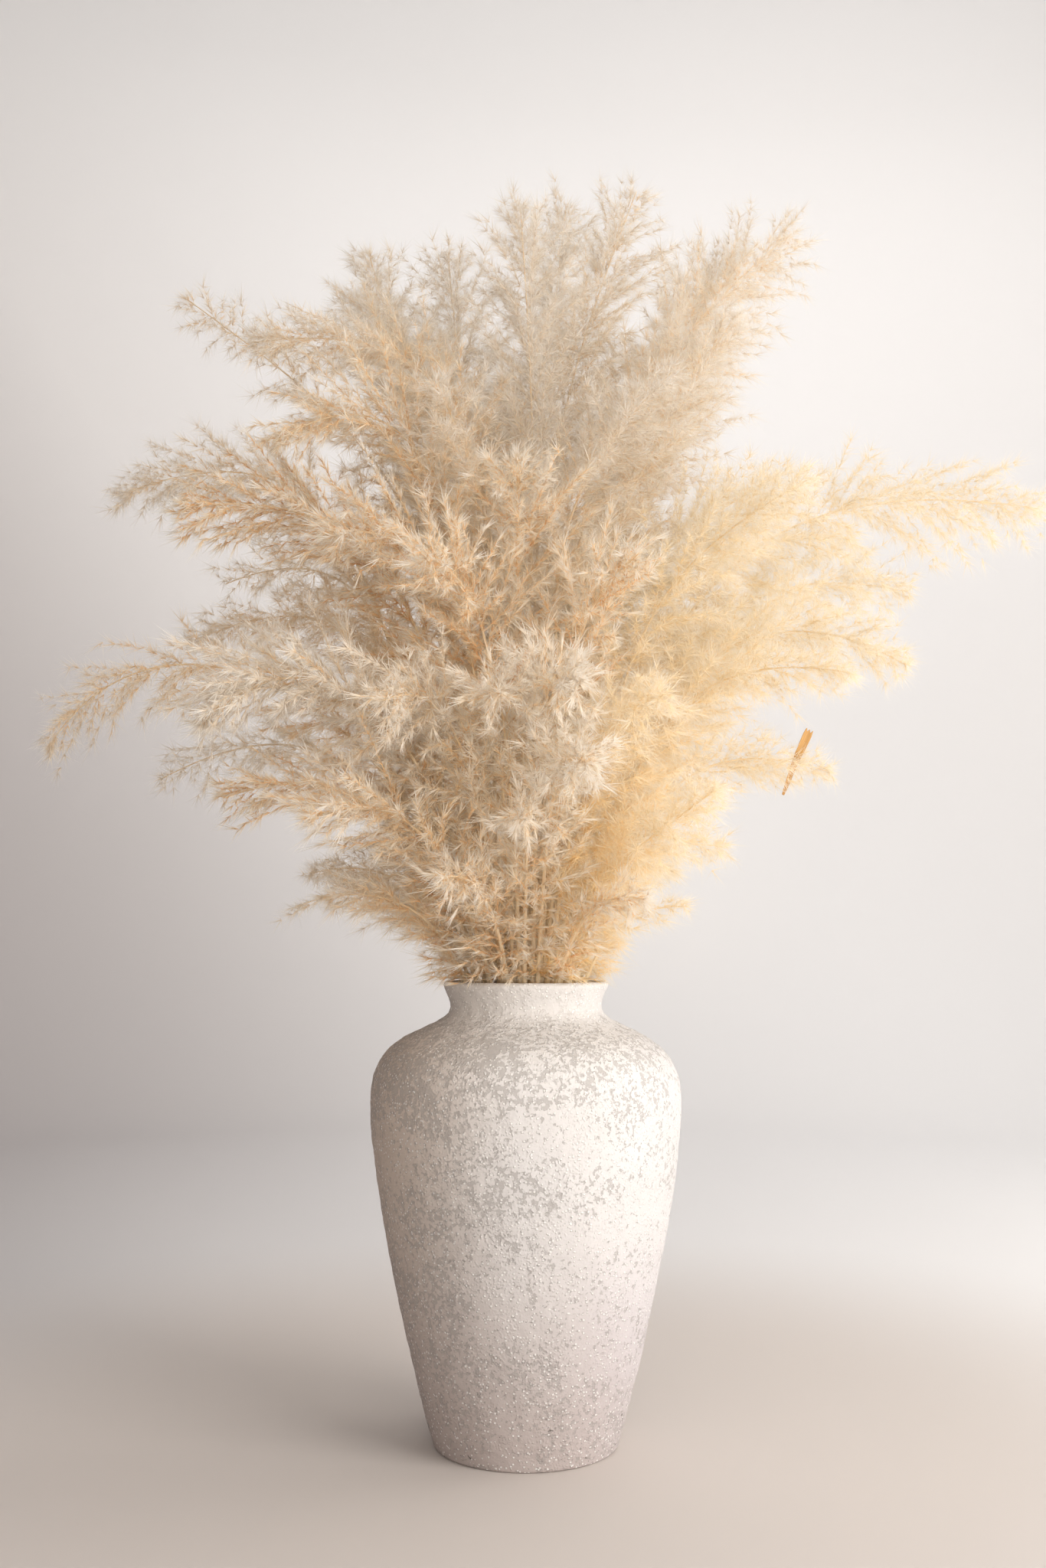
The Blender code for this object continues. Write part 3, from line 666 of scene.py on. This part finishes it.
def leaf_material():
    """A tan dry blade with fine lengthwise veins and blotches."""
    nodes = Nodes("dry_leaf")
    place, across, along, _ = nodes.places("ShaderNodeUVMap", 0, uv_map=MAP_NAME)
    stretched = {0: nodes.times(across, 9.0), 1: nodes.times(along, 1.6)}
    stretched = nodes.add("ShaderNodeCombineXYZ", stretched).outputs[0]
    veins = nodes.noise(stretched, 0.6, 3, 0.6)
    blotches = nodes.noise(place, 0.35)
    colour = nodes.mixed(nodes.times(blotches, 0.5), nodes.ramp(veins, LEAF_COLOURS), LEAF_BLOTCHES)
    nodes.surface(colour, 0.55, 0.5)
    nodes.relief(veins, 0.5, 0.2 * MM)
    nodes.shine_through(colour, LEAF_THROUGH)
    return nodes.material


def stage_material():
    """Pale matt backdrop with painted shade, greyer on the left and nearly white on the right, and beige
    round the vase.
    """
    nodes = Nodes("stage")
    place, x, _, z = nodes.places("ShaderNodeTexCoord", "Object")
    # Painted shade: the wall is greyer on the left, away from the light, and paler towards the top
    rightward = nodes.added(z, 0.6, nodes.maths("SUBTRACT", x, 0.35))
    wall = nodes.ramp(nodes.between(rightward, *WALL_RUN), WALL_PAINTED_SHADES)
    out = nodes.add("ShaderNodeVectorMath", {0: place}, operation="LENGTH").outputs["Value"]
    inside, outside = BEIGE_REACH
    colour = nodes.mixed(nodes.times(nodes.between(out, outside, inside), 0.75), wall, BEIGE)
    nodes.surface(colour, 0.9, 0.1)
    return nodes.material


# Meshes

def smooth_mesh(name, points, faces):
    """A smooth-shaded mesh of these points and faces."""
    mesh = bpy.data.meshes.new(name)
    mesh.from_pydata(points, [], faces)
    mesh.shade_smooth()
    return mesh


def put_in_scene(data):
    """A new object for this mesh, lamp or camera, with its name."""
    added = bpy.data.objects.new(data.name, data)
    bpy.context.scene.collection.objects.link(added)
    return added


def add_piece(mesh, material, replaced):
    """Put a mesh in the scene as a piece of the object that replaces this CAD node."""
    mesh.materials.append(material)
    piece = put_in_scene(mesh)
    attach(piece, "root")
    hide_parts(replaced)
    return piece


def triangle_mesh(name, corners, places):
    """A mesh of separate triangles, each with a place on the UV map for every corner."""
    count = len(corners)
    mesh = bpy.data.meshes.new(name)
    mesh.vertices.add(3 * count)
    mesh.vertices.foreach_set("co", corners.astype(np.float32).ravel())
    mesh.loops.add(3 * count)
    mesh.loops.foreach_set("vertex_index", np.arange(3 * count, dtype=np.int32))
    mesh.polygons.add(count)
    mesh.polygons.foreach_set("loop_start", np.arange(0, 3 * count, 3, dtype=np.int32))
    mesh.update(calc_edges=True)
    layer = mesh.uv_layers.new(name=MAP_NAME)
    layer.uv.foreach_set("vector", places.astype(np.float32).ravel())
    return mesh


def turned_mesh(name, outline, columns):
    """A surface of revolution from radii and heights, closed on the axis at both ends."""
    angles = np.arange(columns) * 2 * math.pi / columns
    ring = np.stack([np.cos(angles), np.sin(angles), np.zeros(columns)], axis=1)
    body = outline[1:-1]
    points = (body[:, 0, None, None] * ring + body[:, 1, None, None] * (0, 0, 1)).reshape(-1, 3)
    first, last = len(points), len(points) + 1
    points = np.vstack([points, (0, 0, outline[0, 1]), (0, 0, outline[-1, 1])])
    column = np.arange(columns)
    following = (column + 1) % columns
    faces = [(first, int(b), int(a)) for a, b in zip(column, following)]
    for row in range(len(body) - 1):
        low, high = row * columns, (row + 1) * columns
        faces.extend(zip((low + column).tolist(), (low + following).tolist(),
                         (high + following).tolist(), (high + column).tolist()))
    top = (len(body) - 1) * columns
    faces.extend((int(top + a), int(top + b), last) for a, b in zip(column, following))
    return smooth_mesh(name, points.tolist(), faces)


# Vase

def lattice_noise(points, spacing, rng):
    """Smooth noise from -1 to 1 that repeats only over long distances."""
    table = rng.uniform(-1, 1, (64, 64, 64))
    place = points / spacing
    cell = np.floor(place).astype(int)
    share = place - cell
    share = share * share * (3 - 2 * share)
    total = np.zeros(len(points))
    for corner in np.ndindex(2, 2, 2):
        weight = np.prod(np.where(corner, share, 1 - share), axis=1)
        total += weight * table[tuple(((cell + corner) % 64).T)]
    return total


def vase_outline():
    """Half of the vase's section, from the centre of the underside round to the centre of the floor."""
    stretches = [bezier(*stretch) for stretch in SIDE_STRETCHES]
    outer = np.vstack(stretches[:1] + [stretch[1:] for stretch in stretches[1:]])
    turn = np.linspace(0, math.pi / 2, FOOT_STEPS + 1)[:-1]
    foot = np.column_stack([FOOT_RADIUS - FOOT_ROUNDING * (1 - np.sin(turn)),
                            FOOT_ROUNDING * (1 - np.cos(turn))])
    turn = np.linspace(0, math.pi, LIP_STEPS + 2)[1:-1]
    lip = np.column_stack([RIM_RADIUS - WALL * (1 - np.cos(turn)) / 2,
                           VASE_HEIGHT - LIP_ROUNDING * (1 - np.sin(turn))])
    along = unit(np.gradient(outer, axis=0))
    inner = outer + WALL * np.column_stack([-along[:, 1], along[:, 0]])
    inner[-1] = (RIM_RADIUS - WALL, VASE_HEIGHT - LIP_ROUNDING)
    inner = inner[inner[:, 1] > FLOOR_THICKNESS + INSIDE_CORNER][::-1][::INSIDE_STEPS]
    floor = [(inner[-1, 0] - INSIDE_CORNER, FLOOR_THICKNESS), (0, FLOOR_THICKNESS)]
    return np.vstack([[(0, 0)], foot, outer, lip, inner, floor])


def make_vase(rng):
    """The vase, with an uneven, grainy coat on its outside."""
    mesh = turned_mesh("rough_vase", vase_outline(), VASE_COLUMNS)
    points = np.empty(3 * len(mesh.vertices))
    normals = np.empty(3 * len(mesh.vertices))
    mesh.vertices.foreach_get("co", points)
    mesh.vertices.foreach_get("normal", normals)
    points, normals = points.reshape(-1, 3), normals.reshape(-1, 3)
    rows = np.arange(len(points)) // VASE_COLUMNS
    outside = (rows > 1) & (rows < sum(stretch[-1] for stretch in SIDE_STRETCHES) + FOOT_STEPS)
    relief = sum(height * lattice_noise(points, spacing, rng) for spacing, height in COAT_LUMPS)
    fade = np.clip((points[:, 2] - COAT_START) / COAT_GROWS, 0, 1)
    points += normals * (np.minimum(relief, COAT_LIMIT) * outside * fade)[:, None]
    mesh.vertices.foreach_set("co", points.ravel())
    mesh.update()
    add_piece(mesh, coat_material(), "vase")


# Plumes

# Twigs of one plume: points along each, its outward side, its place along the plume from 0 to 1, its length
Twigs = namedtuple("Twigs", "curve outward share reach")

# Tufts of one plume: where each is, where it points, its twig's outward side, the side that it faces, its
# tone, its size beside a full one, and if it is the last of its twig
Tufts = namedtuple("Tufts", "place forward outward facing tone size last")


def haziness(plume):
    """0 for a plume of crisp tufts, 1 for a soft cloud."""
    depth = plume.reach * math.sin(math.radians(plume.azimuth))
    soft = max(np.interp(plume.height, HAZY_HEIGHT, (0, 1)), np.interp(depth, HAZY_DEPTH, (0, 1)))
    return 1.0 if plume.tone == "golden" else float(soft)


def by_haze(pair, hazy):
    """Between the value for a crisp plume and the one for a hazy plume."""
    return pair.crisp + (pair.hazy - pair.crisp) * hazy


def ribbon_normal(directions, facing):
    """The direction that a flat hair faces: as near to `facing` as its own direction allows."""
    return unit(facing - directions * (facing * directions).sum(axis=1)[:, None])


def any_direction(count, rng):
    """Random directions, evenly all round."""
    return unit(rng.normal(size=(count, 3)))


def turned(angles, first, second):
    """Directions at these angles from the first one towards the second."""
    return np.cos(angles)[:, None] * first + np.sin(angles)[:, None] * second


def hair_triangles(roots, tips, widths, facing):
    """One slim triangle for each hair, wide at its root, facing outward."""
    directions = unit(tips - roots)
    normal = ribbon_normal(directions, facing)
    aside = np.cross(directions, normal) * widths[:, None] / 2
    return np.stack([roots + aside, roots - aside, tips], axis=1)


def sunken_tips(roots, directions, lengths):
    """Where hairs end that sink a little under their own weight."""
    tips = roots + directions * lengths[:, None]
    tips[:, 2] -= HAIR_SINKS * lengths
    return tips


def tube_triangles(points, radii, frames, sides):
    """A tube round a line, closed at its far end by its own taper."""
    _, side, across = frames
    angles = np.arange(sides) * 2 * math.pi / sides
    ring = np.cos(angles)[:, None, None] * side + np.sin(angles)[:, None, None] * across
    rings = (points + radii[:, None] * ring).transpose(1, 0, 2)
    low, high = rings[:-1], rings[1:]
    low_next, high_next = np.roll(low, -1, axis=1), np.roll(high, -1, axis=1)
    first = np.stack([low, low_next, high_next], axis=2)
    second = np.stack([low, high_next, high], axis=2)
    return np.concatenate([first, second]).reshape(-1, 3, 3)


def on_map(tones, low, high, breadth):
    """UV places for triangles: two corners at the low end and one at the high end, at each one's tone."""
    least, most = TONE_RANGE
    tones = np.clip(tones, least, most - breadth)
    left = np.stack([tones, np.full(len(tones), low)], axis=1)
    right = np.stack([tones + breadth, np.full(len(tones), low)], axis=1)
    top = np.stack([tones + breadth / 2, np.full(len(tones), high)], axis=1)
    return np.stack([left, right, top], axis=1)


def keep_off_vase(points):
    """Points that would lie in the vase's rim or neck, lifted to just over it."""
    radius = np.linalg.norm(points[..., :2], axis=-1)
    over = np.interp(radius, *zip(*VASE_TOP)) + RIM_CLEARANCE
    lifted = points.copy()
    lifted[..., 2] = np.where((radius < BELLY_RADIUS) & (points[..., 2] < over), over, points[..., 2])
    return lifted


def press_in(points):
    """Points well outside the CAD box, pressed back towards it."""
    low, high = (np.array(corner) for corner in CAD_BOX)
    over = np.maximum(points - high - BOX_SLACK, 0) + np.minimum(points - low + BOX_SLACK, 0)
    return points - BOX_PRESS * over


def make_twigs(plume, head, rng):
    """All the twigs of one plume."""
    hazy = haziness(plume)
    points = even_points(head, AXIS_SPACING)
    along, side, across = carried_frames(points)
    length = np.linalg.norm(np.diff(points, axis=0), axis=1).sum()
    start = (VASE_HEIGHT + FLUFF_START - NECK_HEIGHT) / length
    density = by_haze(TWIG_DENSITY, hazy) * FULLER.get(plume.name, 1.0)
    count = round(length * (1 - start) / TWIG_SPACING * density)
    spaced = (np.arange(count) + rng.uniform(0, 1, count)) / count
    share = start + (TWIGS_END - start) * spaced ** CROWDED_AT_RIM
    from_rim, from_tip = (share - start) * length, (1 - share) * length
    at = np.round(share * (len(points) - 1)).astype(int)
    turn = np.arange(count) * TWIG_TURN + rng.uniform(-TURN_JITTER, TURN_JITTER, count)
    outward = turned(turn, side[at], across[at])

    sweep = np.interp(from_tip, (0, SWEEP_OPENS), (by_haze(SWEEP_AT_TIP, hazy), SWEEP_AT_BASE))
    sweep = sweep + RIM_SPLAY * np.exp(-from_rim / RIM_ZONE)
    sweep = np.clip(sweep + rng.normal(0, SWEEP_JITTER, count), *SWEEP_RANGE)
    reach = fluff_width(plume, from_rim, from_tip) / np.sin(np.maximum(sweep, SWEEP_FOR_WIDTH))
    reach = np.minimum(reach * rng.uniform(*TWIG_LENGTH_VARIES, count), by_haze(LONGEST_TWIG, hazy))
    reach = np.minimum(reach, (from_tip + TIP_OVERHANG) / np.cos(sweep))

    direction = turned(sweep, along[at], outward)
    t = np.linspace(0, 1, TWIG_POINTS)
    droop = rng.uniform(*TWIG_DROOP, count) + np.interp(plume.reach, LONG_REACH, (0, LONG_DROOP))
    curve = points[at][:, None] + direction[:, None] * (reach[:, None] * t)[..., None]
    curve[..., 2] -= droop[:, None] * reach[:, None] * t ** 2
    chance = np.interp(share, WISPY_ZONE, (1.0, WISPY.get(plume.name, 1.0)))
    kept = rng.uniform(0, 1, count) < chance
    return Twigs(*(values[kept] for values in (curve, outward, share, reach)))


def thin_hidden(all_twigs, rng):
    """Leave out some twigs that lie deep in the bunch, under the fluff of all the others."""
    middles = np.concatenate([twigs.curve[:, TWIG_POINTS // 2] for twigs in all_twigs])
    weights = np.concatenate([twigs.reach for twigs in all_twigs]) / COVER_UNIT
    cells = ((middles - middles.min(axis=0)) / COVER_CELL).astype(int)
    fluff = np.zeros(cells.max(axis=0) + 1)
    np.add.at(fluff, tuple(cells.T), weights)
    neighbours = [np.roll(fluff, step, axis) for axis in range(3) for step in (-1, 1)]
    fluff = (fluff + sum(neighbours)) / (1 + len(neighbours))

    # Summed from every side but from below
    over = [np.flip(np.cumsum(np.flip(fluff, axis), axis), axis) for axis in range(3)]
    over += [np.cumsum(fluff, axis) for axis in range(2)]
    cover = np.min(over, axis=0)[tuple(cells.T)]
    chance = np.interp(cover, (COVER_FULL, COVER_HIDDEN), (1.0, HIDDEN_KEPT))
    kept = rng.uniform(0, 1, len(chance)) < chance
    ends = np.cumsum([len(twigs.reach) for twigs in all_twigs])[:-1]
    return [Twigs(*(values[keep] for values in twigs))
            for twigs, keep in zip(all_twigs, np.split(kept, ends))]


def place_tufts(plume, twigs, twig_tone, hazy, rng):
    """Tufts all along each twig, each turned on from the one before it."""
    first_turn = rng.uniform(0, 2 * math.pi, len(twigs.curve))
    count = np.round(twigs.reach * (1 - TUFT_START) / by_haze(TUFT_SPACING, hazy))
    count = np.maximum(2, count).astype(int)
    twig = np.repeat(np.arange(len(count)), count)
    order = np.arange(len(twig)) - np.repeat(np.cumsum(count) - count, count)
    t = (order + rng.uniform(*TUFT_JITTER, len(twig))) / count[twig]
    t = TUFT_START + (1 - TUFT_START) * t
    step = np.minimum(t * (TWIG_POINTS - 1), TWIG_POINTS - 1.001)
    low = step.astype(int)
    part = (step - low)[:, None]
    before, after = twigs.curve[twig, low], twigs.curve[twig, low + 1]

    along, outward, share = unit(after - before), twigs.outward[twig], twigs.share[twig]
    around = ribbon_normal(along, outward)
    aside = turned(order * TWIG_TURN + first_turn[twig], around, np.cross(along, around))
    forward = turned(rng.uniform(*TUFT_LEAN, len(twig)), along, aside)
    facing = unit(outward + TUFT_FACES * any_direction(len(twig), rng))
    # Tone: painted shade darkens tufts near a plume's core and near the rim, and painted light makes its tip
    # paler
    tone = TONE_BASE + TONE_PALE * plume.pale + TONE_HAZY[plume.tone] * hazy + TONE_ALONG * t
    tone = tone + twig_tone[twig] + PAINTED_LIGHT_TO_TIP[plume.tone] * (share - 0.5)
    size = TUFT_SIZE + TUFT_GROWS * np.sin(math.pi * np.clip(share, 0, 1))
    place = before * (1 - part) + after * part
    return Tufts(place, forward, outward, facing, tone, size, order == count[twig] - 1)


def dress_twigs(curve, tone, hazy, rng):
    """Slim triangles along each twig, in two lengths and facing any way, with their places on the map."""
    knots = keep_off_vase(curve[:, ::TWIG_POINTS // 2])
    width = by_haze(TWIG_WIDTH, hazy)
    corners = []
    for start, wide in ((0, width), (1, width * TWIG_TAPER)):
        for _ in range(2):
            facing = any_direction(len(curve), rng)
            widths = np.full(len(curve), wide)
            corners.append(hair_triangles(knots[:, start], knots[:, start + 1], widths, facing))
    tones = np.tile(by_haze(TWIG_TONE, hazy) + tone, len(corners))
    return np.concatenate(corners), on_map(tones, *TWIG_ON_MAP)


def dress_awns(plume, tufts, hazy, rng):
    """A fan of awns at each tuft, longer and paler on the last one, with their places on the map."""
    count = len(tufts.place)
    across = np.cross(tufts.forward, tufts.facing)
    widths = np.full(count, by_haze(AWN_WIDTH, hazy))
    corners = []
    for fork in np.linspace(-1, 1, round(by_haze(AWNS_IN_TUFT, hazy))):
        direction = turned(rng.uniform(*AWN_SPREAD, count), tufts.forward, fork * across)
        length = rng.uniform(*AWN_LENGTH, count) * tufts.size * (1 + TIP_AWNS_LONGER * tufts.last)
        tips = sunken_tips(tufts.place, direction, length)
        corners.append(hair_triangles(tufts.place, tips, widths, tufts.facing))
    tones = tufts.tone + by_haze(AWN_TONE[plume.tone], hazy) + TIP_AWNS_PALER * tufts.last
    return np.concatenate(corners), on_map(np.tile(tones, len(corners)), *AWN_ON_MAP)


def dress_hairs(tufts, hazy, rng):
    """Silky hairs and fuzz at each tuft, with their places on the map."""
    tuft = np.repeat(np.arange(len(tufts.place)), round(by_haze(HAIRS_IN_TUFT, hazy)))
    count, forward = len(tuft), tufts.forward[tuft]
    fuzz = rng.uniform(0, 1, count) < by_haze(FUZZ_SHARE, hazy)
    fuzz_lean = rng.uniform(*FUZZ_SPREAD, count)
    hair_lean = rng.uniform(*HAIR_SPREAD, count) * by_haze(HAIR_OPENS, hazy)
    aside = ribbon_normal(forward, any_direction(count, rng))
    direction = turned(np.where(fuzz, fuzz_lean, hair_lean), forward, aside)
    length = rng.uniform(*HAIR_LENGTH, count) * tufts.size[tuft] * by_haze(HAIR_LENGTHENS, hazy)
    length = length * np.where(fuzz, FUZZ_LENGTH, 1.0)
    roots = tufts.place[tuft] - forward * rng.uniform(0, TUFT_DEPTH, count)[:, None]
    facing = unit(tufts.outward[tuft] + HAIR_FACES * any_direction(count, rng))
    widths = by_haze(HAIR_WIDTH, hazy) * rng.uniform(*HAIR_WIDTH_VARIES, count)
    tones = tufts.tone[tuft] + rng.normal(0, HAIR_TONE_VARIES * by_haze(CONTRAST, hazy), count)
    tips = sunken_tips(roots, direction, length)
    return hair_triangles(roots, tips, widths, facing), on_map(tones, *HAIR_ON_MAP)


def make_plume(plume, stem, head, twigs, material, rng):
    """One plume: stem and axis, twigs, and a tuft of awns and hairs every few millimetres on each twig."""
    line = np.vstack([stem[:-1], even_points(head, STALK_SPACING)])
    radii = np.interp(np.arange(len(line)), (0, STEM_LEVELS, len(line) - 1),
                      (STEM_RADIUS, STEM_RADIUS, TIP_RADIUS))
    stalk = tube_triangles(line, radii, carried_frames(line), STEM_SIDES)
    stalk_places = on_map(np.full(len(stalk), STEM_TONE), *STEM_ON_MAP)

    hazy = haziness(plume)
    tone = rng.normal(0, TWIG_TONE_VARIES * by_haze(CONTRAST, hazy), len(twigs.curve))
    tufts = place_tufts(plume, twigs, tone, hazy, rng)
    fluff, places = zip(dress_twigs(twigs.curve, tone, hazy, rng), dress_awns(plume, tufts, hazy, rng),
                        dress_hairs(tufts, hazy, rng))
    corners = press_in(np.concatenate([stalk, keep_off_vase(np.concatenate(fluff))]))
    mesh = triangle_mesh("dressed_" + plume.name, corners, np.concatenate([stalk_places, *places]))
    add_piece(mesh, material, plume.name)


# Leaf

def past(share, start):
    """0 up to the start, then growing to 1 at the end."""
    return max(0.0, share - start) / (1 - start)


def place_leaf(head):
    """Where the leaf scrap lies: its middle, its length and its face, flat on the front of its plume."""
    points = even_points(head, AXIS_SPACING)
    at = round(LEAF_AT * (len(points) - 1))
    along = unit(points[at + 1] - points[at - 1])
    upward = np.array([math.sin(LEAF_TILT), 0, math.cos(LEAF_TILT)])
    face = unit(np.cross(along, upward))
    face = face if face[1] < 0 else -face
    upward = unit(np.cross(face, np.cross(upward, face)))
    offset = LEAF_CORE + STEM_GAP + LEAF_THICKNESS / 2
    return points[at] + offset * face, upward, face


def make_leaf(head):
    """A thin dry blade: wide and torn at the top, narrow at the foot, with rolled edges and a midrib."""
    middle, upward, face = place_leaf(head)
    sideways = np.cross(upward, face)
    rows, columns = LEAF_GRID
    points, places = [], []
    for share in np.linspace(0, 1, rows + 1):
        half_width = (LEAF_TAIL + (LEAF_WIDTH - LEAF_TAIL) * share ** LEAF_WIDENS) / 2
        half_width *= 1 - LEAF_NARROWS * past(share, LEAF_NARROWS_FROM)
        twist = LEAF_TWIST * math.sin(3.4 * share)
        rolled = LEAF_ROLL * (0.5 + 0.5 * math.sin(9 * share))
        arch = LEAF_ARCH * (2 * share - 1) ** 2
        for across in np.linspace(-1, 1, columns + 1):
            rib = LEAF_RIB * math.exp(-30 * across ** 2)
            rise = arch + rolled * across ** 2 - rib + half_width * twist * across
            torn = LEAF_TORN * math.sin(7 * across + 1) * past(share, LEAF_TORN_FROM)
            points.append(middle + upward * (LEAF_LENGTH * (share - 0.5) + torn)
                          + sideways * half_width * across + face * rise)
            places.append(((across + 1) / 2, share))
    faces = []
    for row in range(rows):
        for column in range(columns):
            corner = row * (columns + 1) + column
            faces.append((corner, corner + 1, corner + columns + 2, corner + columns + 1))
    mesh = smooth_mesh("curled_leaf", [tuple(point) for point in points], faces)
    layer = mesh.uv_layers.new(name=MAP_NAME)
    for loop in mesh.loops:
        layer.uv[loop.index].vector = places[loop.vertex_index]
    piece = add_piece(mesh, leaf_material(), "dried_leaf")
    thick = piece.modifiers.new("thickness", "SOLIDIFY")
    thick.thickness = LEAF_SHEET
    thick.offset = 0


# Stage

def make_stage():
    """A pale floor that curves up into a backdrop on all sides."""
    turn = np.linspace(0, math.pi / 2, BACKDROP_ROWS + 1)
    bend = BACKDROP_RADIUS - FLOOR_RADIUS
    outline = np.column_stack([FLOOR_RADIUS + bend * np.sin(turn), bend * (1 - np.cos(turn))])
    outline = np.vstack([(FLOOR_FLAT, 0), outline, (BACKDROP_RADIUS, BACKDROP_HEIGHT)])
    columns = BACKDROP_COLUMNS
    angles = np.arange(columns) * 2 * math.pi / columns
    points = [(radius * math.cos(angle), radius * math.sin(angle), height)
              for radius, height in outline for angle in angles]
    faces = [tuple(range(columns))]
    for row in range(len(outline) - 1):
        for column in range(columns):
            low, after = row * columns, (column + 1) % columns
            faces.append((low + column, low + columns + column, low + columns + after, low + after))
    mesh = smooth_mesh("backdrop", points, faces)
    mesh.materials.append(stage_material())
    backdrop = put_in_scene(mesh)


def make_lights():
    """The lights of the table above, and weak even daylight all round."""
    for light in LIGHTS:
        disk = bpy.data.lights.new(light.name, "AREA")
        disk.shape = "DISK"
        disk.size = light.size
        disk.energy = light.power
        disk.color = light.colour
        disk.spread = math.radians(light.spread)
        lamp = put_in_scene(disk)
        lamp.location = light.place
        lamp.rotation_euler = (Vector(light.target) - Vector(light.place)).to_track_quat("-Z", "Y").to_euler()
        lamp.visible_camera = False
    world = bpy.data.worlds.new("daylight")
    world.use_nodes = True
    background = world.node_tree.nodes["Background"]
    background.inputs["Color"].default_value = (*DAYLIGHT, 1)
    background.inputs["Strength"].default_value = DAYLIGHT_STRENGTH
    bpy.context.scene.world = world


def make_camera():
    """The photograph's camera, just above the rim's height and tilted up a little."""
    camera = bpy.data.cameras.new("camera")
    camera.lens = CAMERA_LENS
    camera.clip_start = CAMERA_NEAR
    placed = put_in_scene(camera)
    placed.location = CAMERA_PLACE
    placed.rotation_euler = (math.pi / 2 + CAMERA_TILT, 0, 0)
    bpy.context.scene.camera = placed


def make_bunch():
    """All the plumes, and the leaf scrap on one of them."""
    sway = np.random.default_rng(7).uniform(-SWAY, SWAY, len(PLUMES))
    rng = np.random.default_rng(11)
    materials = {tone: plume_material(tone) for tone in PLUME_COLOURS}
    places = neck_places()
    heads = [head_line(plume, place, bow) for plume, place, bow in zip(PLUMES, places, sway)]
    all_twigs = thin_hidden([make_twigs(plume, head, rng) for plume, head in zip(PLUMES, heads)], rng)
    for plume, place, head, twigs in zip(PLUMES, places, heads, all_twigs):
        make_plume(plume, stem_line(plume, place), head, twigs, materials[plume.tone], rng)
        if plume.name == LEAF_PLUME:
            make_leaf(head)


def main():
    """The whole scene."""
    bpy.context.scene.view_settings.view_transform = "Standard"
    cycles = bpy.context.scene.cycles
    cycles.debug_use_spatial_splits = True
    cycles.use_light_tree = False
    cycles.max_bounces, cycles.diffuse_bounces, cycles.transmission_bounces = MOST_BOUNCES
    make_camera()
    make_lights()
    make_stage()
    make_vase(np.random.default_rng(3))
    make_bunch()


main()
